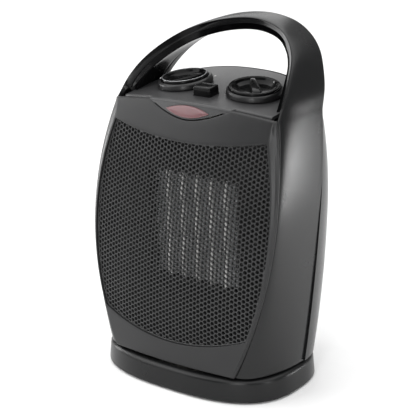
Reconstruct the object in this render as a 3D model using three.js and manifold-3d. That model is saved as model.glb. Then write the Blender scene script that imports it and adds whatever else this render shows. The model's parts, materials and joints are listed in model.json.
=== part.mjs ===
// Oscillating ceramic tower-style fan heater with a carrying handle.
// Millimetres, +Z up, front towards -Y.

import * as THREE from 'three';
import { mergeVertices } from 'three/addons/utils/BufferGeometryUtils.js';
import Module from 'manifold-3d';

const wasm = await Module();
wasm.setup();

// ---------- driving dimensions ----------

const GAP = 0.3; // clearance between neighbouring pieces
const WALL = 2.4; // moulded wall thickness

const BASE_A = 80; // base half width
const BASE_B = 55.5; // base half depth
const BASE_TOP = 18.2;
const BASE_POWER = 2.7; // superellipse exponent of every plan outline
const BASE_DRAFT = 1.5;
const BASE_STEPS = 40;
const FOOT_HEIGHT = 2;

const BODY_BOTTOM = 19.8;
const FLOOR_Z = 22.6; // underside of the housing floor
const SIDE_TOP = 202; // where the side panels turn into the handle

const FRONT_Y = -51; // front face at its most forward height
const FRONT_Z = 40;
const FRONT_LEAN = 1000; // larger is more upright
const FRONT_R = 390; // sideways crown of the front face

const LIP_X = 80.2; // half width of the front face at its widest
const LIP_Z = 132;
const LIP_CURVE = 476;

const OPEN_TOP = 182.3; // grille opening on the centreline
const OPEN_BOTTOM = 35.8;
const LIP_DEPTH = 2.6; // bezel thickness behind the front face
const OUTLINE_COUNTS = [12, 12]; // points across and up each front outline
const GRILLE_BACK = 1.7; // grille surface behind the front face
const GRILLE_THICK = 1.8;
const CELL_PITCH = 30; // coarse cells stand for the fine honeycomb
const CELL_R = 15;
const COLUMN_RATIO = Math.sqrt(3) / 2;
const GRILLE_MID = 112; // height the grille's rings shrink towards

const TONGUE_W = 38; // half width of the tongue over the forehead
const TONGUE_BOTTOM = 196.4;
const LENS_W = 18.5; // half width of the eye-shaped pilot lens
const LENS_Z = 202.4;
const LENS_UP = 3.7;
const LENS_DOWN = 4.4;
const LAMP_Z = 200.5;

const SIDE_X = 82; // half width of the body at the rear seam
const SIDE_Z = 135;

const REAR_BULGE = 1.6; // rear housing stands proud of the side panels
const REAR_TOP = 206;

const PANEL_Z = 208.4; // control panel height at its front edge
const PANEL_SLOPE = 0.08;
const PANEL_FRONT = -20; // where the panel starts to climb towards the back
const PANEL_RISE = 0.00055; // the climb steepens towards the back
const PANEL_CROWN = 900;
const PANEL_THICK = 2.4;

const HANDLE_SHELL = 5;
const HANDLE_THICK = 10;

const KNOB_X = 30.5;
const KNOB_Y = 15.5;
const KNOB_R = 20.7;
const BUTTON_W = 15;
const BUTTON_D = 12;
const BUTTON_Y = -1;
const BUTTON_TRAVEL = 2.5;

const PIVOT_R = 6.5;
const CRANK_Y = 25.5; // crank centre behind the pivot
const CRANK_PIN_R = 14.6;

const HEATER_W = 74;
const HEATER_H = 86;
const HEATER_Z = 113;
const HEATER_Y = -16; // front face of the element stack
const HEATER_DEPTH = 15;

const FAN_R = 41;
const FAN_Z = 113;

const INTAKE_W = 92;
const INTAKE_H = 92;
const rearScrewSpots = [
  [-30, 50],
  [30, 50],
  [-30, 176],
  [30, 176],
];

// ---------- materials ----------

const finish = (color, roughness, metalness = 0) =>
  new THREE.MeshStandardMaterial({ color, roughness, metalness });
const shellPlastic = finish(0x3b3c3f, 0.45);
const glossBlack = finish(0x17181a, 0.25);
const darkPlastic = finish(0x202124, 0.6);
const whitePlastic = finish(0xe4e2da, 0.5);
const redLens = finish(0x9a4a4c, 0.2);
const steel = finish(0xb9bcc0, 0.35, 1);
const aluminium = finish(0xd2d5d8, 0.3, 1);
const copper = finish(0xb4662f, 0.35, 1);
const rubber = finish(0x1b1b1c, 0.9);
const mica = finish(0x9c8d73, 0.7);

// ---------- geometry helpers ----------

const v = (x, y, z) => new THREE.Vector3(x, y, z);
const range = (n) => Array.from({ length: n }, (_, i) => i);
const fromTo = (a, b, n) => range(n + 1).map((i) => a + ((b - a) * i) / n);

// A closed solid between two grids of points of equal size, outer[i][j] and inner[i][j].
function thickSheet(outer, inner, loop = false) {
  const rows = outer.length;
  const cols = outer[0].length;
  const position = [];
  for (const grid of [outer, inner]) {
    for (const row of grid) {
      for (const p of row) position.push(p.x, p.y, p.z);
    }
  }
  const at = (side, i, j) => side * rows * cols + (i % rows) * cols + j;
  const index = [];
  const quad = (a, b, c, d) => index.push(a, b, c, a, c, d);
  const spans = loop ? rows : rows - 1;
  for (let i = 0; i < spans; i++) {
    for (let j = 0; j < cols - 1; j++) {
      quad(at(0, i, j), at(0, i + 1, j), at(0, i + 1, j + 1), at(0, i, j + 1));
      quad(at(1, i, j), at(1, i, j + 1), at(1, i + 1, j + 1), at(1, i + 1, j));
    }
    quad(at(0, i, 0), at(1, i, 0), at(1, i + 1, 0), at(0, i + 1, 0));
    const last = cols - 1;
    quad(at(0, i, last), at(0, i + 1, last), at(1, i + 1, last), at(1, i, last));
  }
  if (!loop) {
    const end = rows - 1;
    for (let j = 0; j < cols - 1; j++) {
      quad(at(0, 0, j), at(0, 0, j + 1), at(1, 0, j + 1), at(1, 0, j));
      quad(at(0, end, j), at(1, end, j), at(1, end, j + 1), at(0, end, j + 1));
    }
  }
  return outward(closed(position, index));
}

function closed(position, index) {
  const geometry = new THREE.BufferGeometry();
  geometry.setAttribute('position', new THREE.Float32BufferAttribute(position, 3));
  geometry.setIndex(index);
  return geometry;
}

function bare(geometry) {
  const copy = geometry.clone();
  copy.deleteAttribute('normal');
  copy.deleteAttribute('uv');
  return mergeVertices(copy, 1e-3);
}

function volume(geometry) {
  const p = geometry.attributes.position;
  const index = geometry.index.array;
  let sum = 0;
  for (let i = 0; i < index.length; i += 3) {
    const [a, b, c] = [0, 1, 2].map((k) => new THREE.Vector3().fromBufferAttribute(p, index[i + k]));
    sum += a.dot(b.cross(c)) / 6;
  }
  return sum;
}

// Turns a closed mesh the right way out.
function outward(geometry) {
  const mesh = bare(geometry);
  if (volume(mesh) < 0) {
    const index = mesh.index.array;
    for (let i = 0; i < index.length; i += 3) {
      [index[i + 1], index[i + 2]] = [index[i + 2], index[i + 1]];
    }
  }
  return mesh;
}

function solid(geometry) {
  const mesh = bare(geometry);
  return new wasm.Manifold(
    new wasm.Mesh({
      numProp: 3,
      vertProperties: new Float32Array(mesh.attributes.position.array),
      triVerts: new Uint32Array(mesh.index.array),
    }),
  );
}

function fromSolid(body) {
  const mesh = body.getMesh();
  return closed(Array.from(mesh.vertProperties), Array.from(mesh.triVerts));
}

function cut(geometry, tools) {
  return fromSolid(tools.reduce((body, tool) => body.subtract(solid(tool)), solid(geometry)));
}

function common(a, b) {
  return fromSolid(solid(a).intersect(solid(b)));
}

function join(geometries) {
  return fromSolid(geometries.map(solid).reduce((a, b) => a.add(b)));
}

const box = (w, d, h, x = 0, y = 0, z = 0) => new THREE.BoxGeometry(w, d, h).translate(x, y, z);

// A cylinder or cone from low to high along +Z.
function rod(r, low, high, x = 0, y = 0, sides = 24, rTop = r) {
  return new THREE.CylinderGeometry(rTop, r, high - low, sides)
    .rotateX(Math.PI / 2)
    .translate(x, y, (low + high) / 2);
}

// A cylinder from y = near to y = far.
const rodY = (r, near, far, x = 0, z = 0, sides = 24) =>
  new THREE.CylinderGeometry(r, r, far - near, sides).translate(x, (near + far) / 2, z);

function lathe(profile, sides = 32) {
  const points = profile.map(([r, z]) => new THREE.Vector2(r, z));
  return outward(new THREE.LatheGeometry(points, sides).rotateX(Math.PI / 2));
}

function plate(shape, low, high, curveSegments = 10) {
  const options = { depth: high - low, bevelEnabled: false, curveSegments };
  return new THREE.ExtrudeGeometry(shape, options).translate(0, 0, low);
}

function circlePath(r, x = 0, y = 0, hole = true) {
  const path = hole ? new THREE.Path() : new THREE.Shape();
  path.absarc(x, y, r, 0, 2 * Math.PI, false);
  return path;
}

// Offsets a grid along its own normals, by a constant or by a function of the row.
function inset(grid, depth, loop = false) {
  const rows = grid.length;
  const cols = grid[0].length;
  const wrap = (i) => (loop ? (i + rows) % rows : THREE.MathUtils.clamp(i, 0, rows - 1));
  const edge = (j) => THREE.MathUtils.clamp(j, 0, cols - 1);
  return grid.map((row, i) =>
    row.map((p, j) => {
      const along = grid[wrap(i + 1)][j].clone().sub(grid[wrap(i - 1)][j]);
      const across = grid[i][edge(j + 1)].clone().sub(grid[i][edge(j - 1)]);
      const normal = across.cross(along).normalize();
      const amount = typeof depth === 'function' ? depth(i, j) : depth;
      return p.clone().addScaledVector(normal, -amount);
    }),
  );
}

const heater = new THREE.Group();
function add(name, geometry, material) {
  const mesh = new THREE.Mesh(geometry, material);
  mesh.name = name;
  heater.add(mesh);
  return mesh;
}

// ---------- outlines and surfaces ----------

// Point of a superellipse at an angle measured from +X.
function superPoint(a, b, power, angle) {
  const c = Math.cos(angle);
  const s = Math.sin(angle);
  const bend = (t) => Math.sign(t) * Math.abs(t) ** (2 / power);
  return [a * bend(c), b * bend(s)];
}

function superShape(a, b, steps = BASE_STEPS, power = BASE_POWER) {
  const points = range(steps).map((i) => {
    const [x, y] = superPoint(a, b, power, (2 * Math.PI * i) / steps);
    return new THREE.Vector2(x, y);
  });
  return new THREE.Shape(points);
}

const frontY = (x, z) => FRONT_Y + (z - FRONT_Z) ** 2 / FRONT_LEAN + x ** 2 / (2 * FRONT_R);
const lipX = (z) => LIP_X - (z - LIP_Z) ** 2 / LIP_CURVE;
const sideX = (z) => SIDE_X - (z - SIDE_Z) ** 2 / (z < SIDE_Z ? 2800 : 690);
const seamY = (z) => 8 + 14 * ((z - BODY_BOTTOM) / 130) + 6 * ((z - BODY_BOTTOM) / 182) ** 4;
const panelZ = (x, y) =>
  PANEL_Z + PANEL_SLOPE * (y - PANEL_FRONT) + PANEL_RISE * (y - PANEL_FRONT) ** 2 - x ** 2 / PANEL_CROWN;
const rearB = (z) => 73 - 18 * ((150 - Math.min(z, 150)) / 130) ** 2 - Math.max(z - 150, 0) ** 2 / 900;

// ---------- base ----------

function baseRing(inset_, z, shrink = 1) {
  const draft = (BASE_DRAFT * z) / BASE_TOP;
  return range(BASE_STEPS).map((i) => {
    const [x, y] = superPoint(
      (BASE_A - draft - inset_) * shrink,
      (BASE_B - draft - inset_) * shrink,
      BASE_POWER,
      (2 * Math.PI * i) / BASE_STEPS,
    );
    return v(x, y, z);
  });
}

const ringAt = (r, z) =>
  range(BASE_STEPS).map((i) => v(r * Math.cos((2 * Math.PI * i) / BASE_STEPS), r * Math.sin((2 * Math.PI * i) / BASE_STEPS), z));
const turn = (rings) => rings[0].map((_, i) => rings.map((ring) => ring[i]));

function baseShell() {
  const outer = turn([
    baseRing(0, 1.6),
    baseRing(0, 14.6),
    baseRing(0.5, 16.6),
    baseRing(1.7, 17.8),
    baseRing(3.4, BASE_TOP),
    ringAt(11, BASE_TOP),
  ]);
  const inner = turn([
    baseRing(WALL, 1.6),
    baseRing(WALL, 13.4),
    baseRing(WALL + 0.4, 14.6),
    baseRing(WALL + 1.2, 15.4),
    baseRing(WALL + 2.4, BASE_TOP - WALL),
    ringAt(11, BASE_TOP - WALL),
  ]);
  const slotHalf = 3.2;
  const slot = box(2 * slotHalf, 17, 12, 0, 34.4, BASE_TOP);
  const cordHole = rodY(4.6, BASE_B - 9, BASE_B + 5, 0, 8.6);
  return cut(thickSheet(outer, inner, true), [slot, cordHole]);
}
add('base_shell', baseShell(), shellPlastic);

function basePlate() {
  const shape = superShape(BASE_A - WALL - 1.4, BASE_B - WALL - 1.4);
  for (const [x, y] of footSpots) shape.holes.push(circlePath(2.6, x, y));
  return plate(shape, FOOT_HEIGHT + 0.2, FOOT_HEIGHT + 2.2);
}
const footSpots = [
  [-52, -34],
  [52, -34],
  [-52, 34],
  [52, 34],
];
add('base_plate', basePlate(), darkPlastic);

footSpots.forEach(([x, y], i) => {
  const foot = lathe([
    [0, 0],
    [6.4, 0],
    [7, 0.6],
    [7, FOOT_HEIGHT],
    [2.3, FOOT_HEIGHT],
    [2.3, FOOT_HEIGHT + 4],
    [0, FOOT_HEIGHT + 4],
  ], 12);
  add(`foot_${i + 1}`, foot.translate(x, y, 0), rubber);
});

const POST_FOOT = FOOT_HEIGHT + 2.5;
const POST_TOP = 26.2;
add(
  'pivot_post',
  lathe([
    [0, POST_FOOT],
    [16, POST_FOOT],
    [16, POST_FOOT + 2],
    [PIVOT_R + 2.5, POST_FOOT + 4],
    [PIVOT_R + 2.5, BASE_TOP + 0.2],
    [PIVOT_R, BASE_TOP + 0.5],
    [PIVOT_R, POST_TOP],
    [2.5, POST_TOP],
    [2.5, POST_TOP - 14],
    [0, POST_TOP - 14],
  ]),
  darkPlastic,
);

const GLIDE_IN = 43.3;
const GLIDE_OUT = 45.7;
add(
  'glide_ring',
  lathe([
    [GLIDE_IN, BASE_TOP + 0.2],
    [GLIDE_OUT, BASE_TOP + 0.2],
    [GLIDE_OUT, FLOOR_Z - 0.6],
    [GLIDE_OUT - 0.5, FLOOR_Z - 0.2],
    [GLIDE_IN + 0.5, FLOOR_Z - 0.2],
    [GLIDE_IN, FLOOR_Z - 0.6],
    [GLIDE_IN, BASE_TOP + 0.2],
  ], 40),
  whitePlastic,
);

// Inlet bush through the rear wall of the base, where the supply lead enters.
function cordGland() {
  const profile = [
    [2.9, BASE_B + 5.5],
    [4.6, BASE_B + 5],
    [6.4, BASE_B + 0.4],
    [4.3, BASE_B + 0.4],
    [4.3, BASE_B - 7],
    [2.9, BASE_B - 7],
    [2.9, BASE_B + 5.5],
  ];
  return lathe(profile, 20).rotateX(-Math.PI / 2).translate(0, 0, 8.6);
}
add('cord_gland', cordGland(), rubber);

// ---------- swivel and oscillation drive ----------

const retainer = new THREE.Shape().absarc(0, 0, 13, 0, 2 * Math.PI, false);
retainer.holes.push(circlePath(2.6));
add('retaining_washer', plate(retainer, POST_TOP + 0.2, POST_TOP + 1.6), steel);
add(
  'pivot_screw',
  lathe([
    [0, POST_TOP - 12],
    [2.1, POST_TOP - 12],
    [2.1, POST_TOP + 1.8],
    [4.6, POST_TOP + 1.8],
    [4.6, POST_TOP + 3.4],
    [3.2, POST_TOP + 4.4],
    [0, POST_TOP + 4.4],
  ], 20),
  steel,
);

// Plan section of the body at a height, inset from the outer surface.
function bodySection(z, depth, steps = 14) {
  const points = [];
  const lip = lipX(z);
  for (const t of fromTo(-1, 1, 8)) {
    const x = t * (lip - 2 - depth);
    points.push([x, frontY(x, z) + depth]);
  }
  const rear = [];
  for (const t of fromTo(0, 1, steps)) {
    const angle = t * Math.PI;
    const [x, y] = superPoint(sideX(z) - depth, rearB(z) - depth, BASE_POWER, angle);
    rear.push([x, y]);
  }
  const corner = [];
  for (const t of [0.35, 0.7]) {
    const x = lip + (sideX(z) - lip) * Math.sin((t * Math.PI) / 2) - depth;
    const y = frontY(lip, z) * Math.cos((t * Math.PI) / 2) + depth;
    corner.push([x, y]);
  }
  const left = corner.map(([x, y]) => [-x, y]).reverse();
  return new THREE.Shape([...points, ...corner, ...rear, ...left].map(([x, y]) => new THREE.Vector2(x, y)));
}

function bodyFloor() {
  const shape = bodySection(FLOOR_Z, WALL + 2.2);
  shape.holes.push(circlePath(PIVOT_R + 0.4), circlePath(3.4, 0, CRANK_Y));
  return plate(shape, FLOOR_Z, FLOOR_Z + WALL);
}
add('body_floor', bodyFloor(), darkPlastic);

const MOTOR_LOW = FLOOR_Z + WALL + GAP;
add(
  'swing_motor',
  join([
    rod(17.5, MOTOR_LOW, MOTOR_LOW + 16, 0, CRANK_Y + 7, 28),
    box(48, 9, 1.6, 0, CRANK_Y + 7, MOTOR_LOW + 0.8),
  ]),
  steel,
);

function crank() {
  const disc = rod(CRANK_PIN_R + 2.6, BASE_TOP + 0.9, FLOOR_Z - 0.5, 0, CRANK_Y, 28);
  const hub = rod(2.9, BASE_TOP + 2, MOTOR_LOW - 0.3, 0, CRANK_Y, 16);
  const pin = rod(2.2, BASE_TOP - 4, BASE_TOP + 2, 0, CRANK_Y + CRANK_PIN_R, 16);
  return join([disc, hub, pin]);
}
add('crank', crank(), whitePlastic);

// ---------- front bezel and grille ----------

const bottomEdge = (x) => OPEN_BOTTOM + x ** 2 / 300;
const topEdge = (x) => OPEN_TOP + x ** 2 / 640;
const stripWidth = (z) => 2.2 + 4.6 * THREE.MathUtils.clamp((z - 60) / 128, 0, 1) ** 2;
const openX = (z) => lipX(z) - stripWidth(z);

// Corner heights of the grille opening, where its side meets the curved top or bottom edge.
function cornerHeight(edge, start) {
  let z = start;
  for (let i = 0; i < 30; i++) z = edge(openX(z));
  return z;
}
const OPEN_LOW = cornerHeight(bottomEdge, 48);
const OPEN_HIGH = cornerHeight(topEdge, 190);
const topLipZ = (x) => panelZ(x, frontY(x, PANEL_Z)) - 0.4;
const TOP_CORNER = topLipZ(70);

// Walks round a four-sided outline: bottom, right, top, left.
function frame(bottomZ, topZ, lowCorner, highCorner, halfWidth, counts) {
  const points = [];
  const wLow = halfWidth(lowCorner);
  const wHigh = halfWidth(highCorner);
  const [across, up] = counts;
  for (const i of range(across)) {
    const x = wLow * (-1 + (2 * i) / across);
    points.push([x, bottomZ(x)]);
  }
  for (const i of range(up)) {
    const z = lowCorner + ((highCorner - lowCorner) * i) / up;
    points.push([halfWidth(z), z]);
  }
  for (const i of range(across)) {
    const x = wHigh * (1 - (2 * i) / across);
    points.push([x, topZ(x)]);
  }
  for (const i of range(up)) {
    const z = highCorner - ((highCorner - lowCorner) * i) / up;
    points.push([-halfWidth(z), z]);
  }
  return points;
}

const onFront = ([x, z], back = 0) => v(x, frontY(x, z) + back, z);

// Draws an outline in towards the middle of the front face.
const pullIn = (points, distance) =>
  points.map(([x, z]) => {
    const toward = new THREE.Vector2(x, z - GRILLE_MID).setLength(distance);
    return [x - toward.x, z - toward.y];
  });

// Lower outline of the tongue that the control panel lays over the forehead.
const tongueZ = (x) => TONGUE_BOTTOM + 11.5 * (Math.abs(x) / TONGUE_W) ** 1.7;

// A prism with a front-view outline, from y = near to y = far.
function uprightPrism(points, near, far) {
  const shape = new THREE.Shape(points.map(([x, z]) => new THREE.Vector2(x, z)));
  const options = { depth: far - near, bevelEnabled: false };
  return new THREE.ExtrudeGeometry(shape, options).rotateX(Math.PI / 2).translate(0, far, 0);
}

function frontBezel() {
  const lip = frame(() => BODY_BOTTOM, topLipZ, BODY_BOTTOM, TOP_CORNER, lipX, OUTLINE_COUNTS);
  const hole = frame(bottomEdge, topEdge, OPEN_LOW, OPEN_HIGH, openX, OUTLINE_COUNTS);
  const mix = (t) => lip.map(([x, z], i) => [x + (hole[i][0] - x) * t, z + (hole[i][1] - z) * t]);
  const outerRings = [
    pullIn(lip, 0.2).map((p) => onFront(p, LIP_DEPTH)),
    pullIn(lip, 0.2).map((p) => onFront(p, 0.9)),
    pullIn(lip, 1.2).map((p) => onFront(p)),
    mix(0.55).map((p) => onFront(p)),
    hole.map((p) => onFront(p, 0.3)),
    pullIn(hole, 0.7).map((p) => onFront(p, 1.1)),
    pullIn(hole, 0.7).map((p) => onFront(p, LIP_DEPTH)),
  ];
  const innerRings = [
    pullIn(lip, 0.9).map((p) => onFront(p, LIP_DEPTH)),
    pullIn(lip, 1.6).map((p) => onFront(p, LIP_DEPTH)),
    pullIn(lip, 2.6).map((p) => onFront(p, LIP_DEPTH)),
    mix(0.55).map((p) => onFront(p, LIP_DEPTH)),
    pullIn(hole, -0.6).map((p) => onFront(p, LIP_DEPTH)),
    pullIn(hole, -0.1).map((p) => onFront(p, LIP_DEPTH)),
    pullIn(hole, 0.3).map((p) => onFront(p, LIP_DEPTH)),
  ];
  const edge = fromTo(-1.12, 1.12, 30).map((t) => [t * TONGUE_W, tongueZ(t * TONGUE_W)]);
  const notch = uprightPrism([...edge, [TONGUE_W * 1.12, 230], [-TONGUE_W * 1.12, 230]], -60, 10);
  return cut(thickSheet(turn(outerRings), turn(innerRings), true), [notch]);
}
add('front_bezel', frontBezel(), shellPlastic);


function grille() {
  const edge = frame(bottomEdge, topEdge, OPEN_LOW, OPEN_HIGH, openX, OUTLINE_COUNTS);
  const scale = (t) =>
    edge.map(([x, z]) => {
      const away = new THREE.Vector2(x, z - GRILLE_MID);
      away.setLength((away.length() - 1.1) * t);
      return [away.x, away.y + GRILLE_MID];
    });
  const steps = [1, 0.66, 0.33];
  const rings = steps.map(scale);
  const centre = [0, GRILLE_MID];
  const position = [];
  for (const back of [GRILLE_BACK, GRILLE_BACK + GRILLE_THICK]) {
    for (const ring of rings) {
      for (const p of ring) position.push(...onFront(p, back).toArray());
    }
    position.push(...onFront(centre, back).toArray());
  }
  const n = edge.length;
  const side = n * steps.length + 1;
  const index = [];
  for (const s of [0, 1]) {
    const at = (k, i) => s * side + k * n + (i % n);
    const tri = (a, b, c) => (s ? index.push(a, c, b) : index.push(a, b, c));
    for (const i of range(n)) {
      for (const k of range(steps.length - 1)) {
        tri(at(k, i), at(k, i + 1), at(k + 1, i + 1));
        tri(at(k, i), at(k + 1, i + 1), at(k + 1, i));
      }
      tri(at(steps.length - 1, i), at(steps.length - 1, i + 1), s * side + side - 1);
    }
  }
  for (const i of range(n)) {
    const j = (i + 1) % n;
    index.push(i, side + i, side + j, i, side + j, j);
  }
  const cells = [];
  for (const column of fromTo(-2, 2, 4)) {
    const x = column * CELL_PITCH * COLUMN_RATIO;
    const shift = column % 2 ? CELL_PITCH / 2 : 0;
    for (const row of fromTo(-2, 2, 4)) {
      const z = GRILLE_MID + row * CELL_PITCH + shift;
      const clearX = openX(z) - Math.abs(x) > CELL_R + 2;
      const clearZ = z > bottomEdge(x) + CELL_R + 1 && z < topEdge(x) - CELL_R - 1;
      if (clearX && clearZ) {
        cells.push(new THREE.CylinderGeometry(CELL_R, CELL_R, 60, 6).rotateY(Math.PI / 6).translate(x, -40, z));
      }
    }
  }
  return cut(outward(closed(position, index)), cells);
}
add('front_grille', grille(), darkPlastic);

// ---------- side panels and handle, one U-shaped moulding ----------

const frontRail = new THREE.CatmullRomCurve3([
  v(lipX(SIDE_TOP) - 0.2, frontY(lipX(SIDE_TOP), SIDE_TOP) + LIP_DEPTH + GAP, SIDE_TOP),
  v(67.6, -3, 217),
  v(62.9, 9.5, 228.5),
  v(54, 25.7, 239.6),
  v(42, 38.6, 247.6),
  v(24, 51, 253.2),
  v(0, 57, 255.6),
  v(-24, 51, 253.2),
  v(-42, 38.6, 247.6),
  v(-54, 25.7, 239.6),
  v(-62.9, 9.5, 228.5),
  v(-67.6, -3, 217),
  v(0.2 - lipX(SIDE_TOP), frontY(lipX(SIDE_TOP), SIDE_TOP) + LIP_DEPTH + GAP, SIDE_TOP),
]);
const rearRail = new THREE.CatmullRomCurve3([
  v(sideX(SIDE_TOP), seamY(SIDE_TOP), SIDE_TOP),
  v(72.6, 41, 215),
  v(67, 48.5, 227),
  v(58.8, 57, 238),
  v(47, 64.5, 247),
  v(27, 73, 254.4),
  v(0, 77, 257.4),
  v(-27, 73, 254.4),
  v(-47, 64.5, 247),
  v(-58.8, 57, 238),
  v(-67, 48.5, 227),
  v(-72.6, 41, 215),
  v(-sideX(SIDE_TOP), seamY(SIDE_TOP), SIDE_TOP),
]);

const ARCH_STEPS = 32;
const SIDE_STEPS = 8;
const ACROSS = fromTo(0, 1, 5);

// A row from the front edge to the rear edge, rounded like a quarter ellipse.
function sideRow(front, rear) {
  return ACROSS.map((t) => {
    const angle = (t * Math.PI) / 2;
    const s = Math.sin(angle);
    const c = Math.cos(angle);
    return v(
      front.x + (rear.x - front.x) * s,
      rear.y + (front.y - rear.y) * c,
      front.z + (rear.z - front.z) * s,
    );
  });
}

function panelRow(z, sign) {
  const x = lipX(z) - 0.2;
  const front = v(sign * x, frontY(x, z) + LIP_DEPTH + GAP, z);
  const rear = v(sign * sideX(z), seamY(z), z);
  return sideRow(front, rear);
}

function archRow(t) {
  return sideRow(frontRail.getPoint(t), rearRail.getPoint(t));
}

const panelHeights = fromTo(BODY_BOTTOM, SIDE_TOP, SIDE_STEPS).slice(0, -1);
const outerRows = [
  ...panelHeights.map((z) => panelRow(z, 1)),
  ...fromTo(0, 1, ARCH_STEPS).map(archRow),
  ...panelHeights.map((z) => panelRow(z, -1)).reverse(),
];
const isArch = (i) => i > SIDE_STEPS + 1 && i < SIDE_STEPS + ARCH_STEPS - 1;

add(
  'handle_frame',
  thickSheet(outerRows, inset(outerRows, (i) => (isArch(i) ? HANDLE_SHELL : WALL))),
  shellPlastic,
);

const archRows = outerRows.slice(SIDE_STEPS + 2, SIDE_STEPS + ARCH_STEPS - 1);
add(
  'handle_inner_cover',
  thickSheet(inset(archRows, HANDLE_SHELL + GAP), inset(archRows, HANDLE_THICK)),
  glossBlack,
);

// ---------- rear housing ----------

// Plan curve from the right seam round the back to the left seam.
function rearRow(z, depth) {
  const a = sideX(z) + REAR_BULGE - depth;
  const b = rearB(z) - depth;
  const startAngle = Math.asin(Math.min(((seamY(z) + GAP) / b) ** (BASE_POWER / 2), 1));
  return fromTo(startAngle, Math.PI - startAngle, 18).map((angle) => {
    const [x, y] = superPoint(a, b, BASE_POWER, angle);
    return v(x, y, z);
  });
}

// The rear housing rolls over at the top to meet the rising control panel.
function rollRow(share, depth, sink) {
  const low = 190;
  return rearRow(low + (REAR_TOP - low) * share, depth).map((p) => {
    const top = panelZ(p.x, p.y) - 0.6;
    return v(p.x, p.y, low + (top - low) * share - sink);
  });
}

function rearHousing() {
  const heights = fromTo(BODY_BOTTOM, 190, 7);
  const outer = heights.map((z) => rearRow(z, 0));
  const inner = heights.map((z) => rearRow(z, WALL));
  const roll = [
    [0.45, 1.4],
    [0.82, 4.4],
    [1, 9],
  ];
  for (const [share, depth] of roll) {
    outer.push(rollRow(share, depth, 0));
    inner.push(rollRow(share, depth + WALL * 0.8, WALL * 0.6 * share));
  }
  const opening = box(INTAKE_W, 40, INTAKE_H, 0, 74, FAN_Z);
  const screwHoles = rearScrewSpots.map(([x, z]) => rodY(2.2, 40, 90, x, z, 12));
  return cut(thickSheet(outer, inner), [opening, ...screwHoles]);
}
add('rear_housing', rearHousing(), shellPlastic);


// ---------- control panel, tongue and pilot light ----------

const panelBands = [0, 14, 27, 30, 42, 54, 61, 64];
const panelColumns = [...panelBands.slice(1).reverse().map((x) => -x), ...panelBands];
const panelFront = (x) => frontY(x, PANEL_Z) + (Math.abs(x) < 28 ? 1.4 : 4.6);
const panelRear = (x) => 57.8 * (1 - (Math.abs(x) / 64.4) ** BASE_POWER) ** (1 / BASE_POWER);

// The same surface as the front face, from the notch in the bezel up to the panel.
function tongueSheet() {
  const columns = fromTo(-35, 35, 10);
  const rows = (back) =>
    columns.map((x) => {
      const low = tongueZ(x) + 2 * GAP;
      const high = panelZ(x, frontY(x, PANEL_Z));
      return fromTo(low, high, 3).map((z) => v(x, frontY(x, z) + back, z));
    });
  return thickSheet(rows(-0.2), rows(2.2));
}

function eyePrism(grow) {
  const upper = fromTo(1, -1, 8).map((t) => [
    (LENS_W + grow) * t,
    LENS_Z + (LENS_UP + grow) * (1 - t * t),
  ]);
  const lower = fromTo(-1, 1, 8).map((t) => [
    (LENS_W + grow) * t,
    LENS_Z - (LENS_DOWN + grow) * (1 - t * t),
  ]);
  return uprightPrism([...upper.slice(0, -1), ...lower.slice(0, -1)], -60, 10);
}

function controlPanel() {
  const rows = (drop) =>
    panelColumns.map((x) =>
      fromTo(panelFront(x), panelRear(x), 4).map((y) => v(x, y, panelZ(x, y) - drop)),
    );
  const sheet = thickSheet(rows(0), rows(PANEL_THICK));
  const lip = cut(tongueSheet(), [eyePrism(GAP)]);
  const holes = [
    rod(4.4, 190, 230, KNOB_X, KNOB_Y, 20),
    rod(4.4, 190, 230, -KNOB_X, KNOB_Y, 20),
    box(BUTTON_W + 0.7, BUTTON_D + 0.7, 40, 0, BUTTON_Y, PANEL_Z),
  ];
  return cut(join([sheet, lip]), holes);
}

add('control_panel', controlPanel(), shellPlastic);
add('pilot_lens', common(tongueSheet(), eyePrism(0)), redLens);

const LAMP_NEAR = frontY(0, LENS_Z) + 3;
add('pilot_lamp', rodY(2.6, LAMP_NEAR, LAMP_NEAR + 11, 0, LAMP_Z, 16), redLens);
add(
  'lamp_holder',
  cut(box(12, 7, 9, 0, LAMP_NEAR + 8, LAMP_Z), [rodY(2.9, LAMP_NEAR - 2, LAMP_NEAR + 20, 0, LAMP_Z, 16)]),
  whitePlastic,
);

// ---------- knobs, button and their switches ----------

// Puts a mesh modelled along its own +Z onto the sloping, crowned panel.
function onPanel(mesh, x, y) {
  const slope = PANEL_SLOPE + 2 * PANEL_RISE * (y - PANEL_FRONT);
  const normal = v((2 * x) / PANEL_CROWN, -slope, 1).normalize();
  mesh.position.set(x, y, panelZ(x, y));
  mesh.quaternion.setFromUnitVectors(v(0, 0, 1), normal);
}

function knob() {
  const body = lathe([
    [0, 3.2],
    [17.4, 3.2],
    [18.4, 0.6],
    [KNOB_R, 0.6],
    [KNOB_R - 0.6, 5.4],
    [KNOB_R - 1.4, 6.6],
    [KNOB_R - 2.6, 6.8],
    [KNOB_R - 3.6, 5.4],
    [0, 5.4],
  ], 28);
  const hub = rod(5.2, 0.8, 4, 0, 0, 20);
  const grip = box(7.4, 34, 2.8, 0, 0, 6.2);
  return cut(join([body, hub, grip]), [rod(3.3, 0, 4, 0, 0, 20)]);
}

function rotarySwitch() {
  return cut(box(27, 22, 13, 0, 0, -10), [rod(3.3, -15, 0, 0, 0, 20)]);
}

const controls = [
  ['thermostat', -1, 'thermostat_body'],
  ['selector', 1, 'selector_switch_body'],
];
for (const [name, side, bodyName] of controls) {
  onPanel(add(`${name}_knob`, knob(), glossBlack), side * KNOB_X, KNOB_Y);
  onPanel(add(`${name}_spindle`, rod(3, -14, 3.7, 0, 0, 20), steel), side * KNOB_X, KNOB_Y);
  onPanel(add(bodyName, rotarySwitch(), whitePlastic), side * KNOB_X, KNOB_Y);
}

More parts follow.
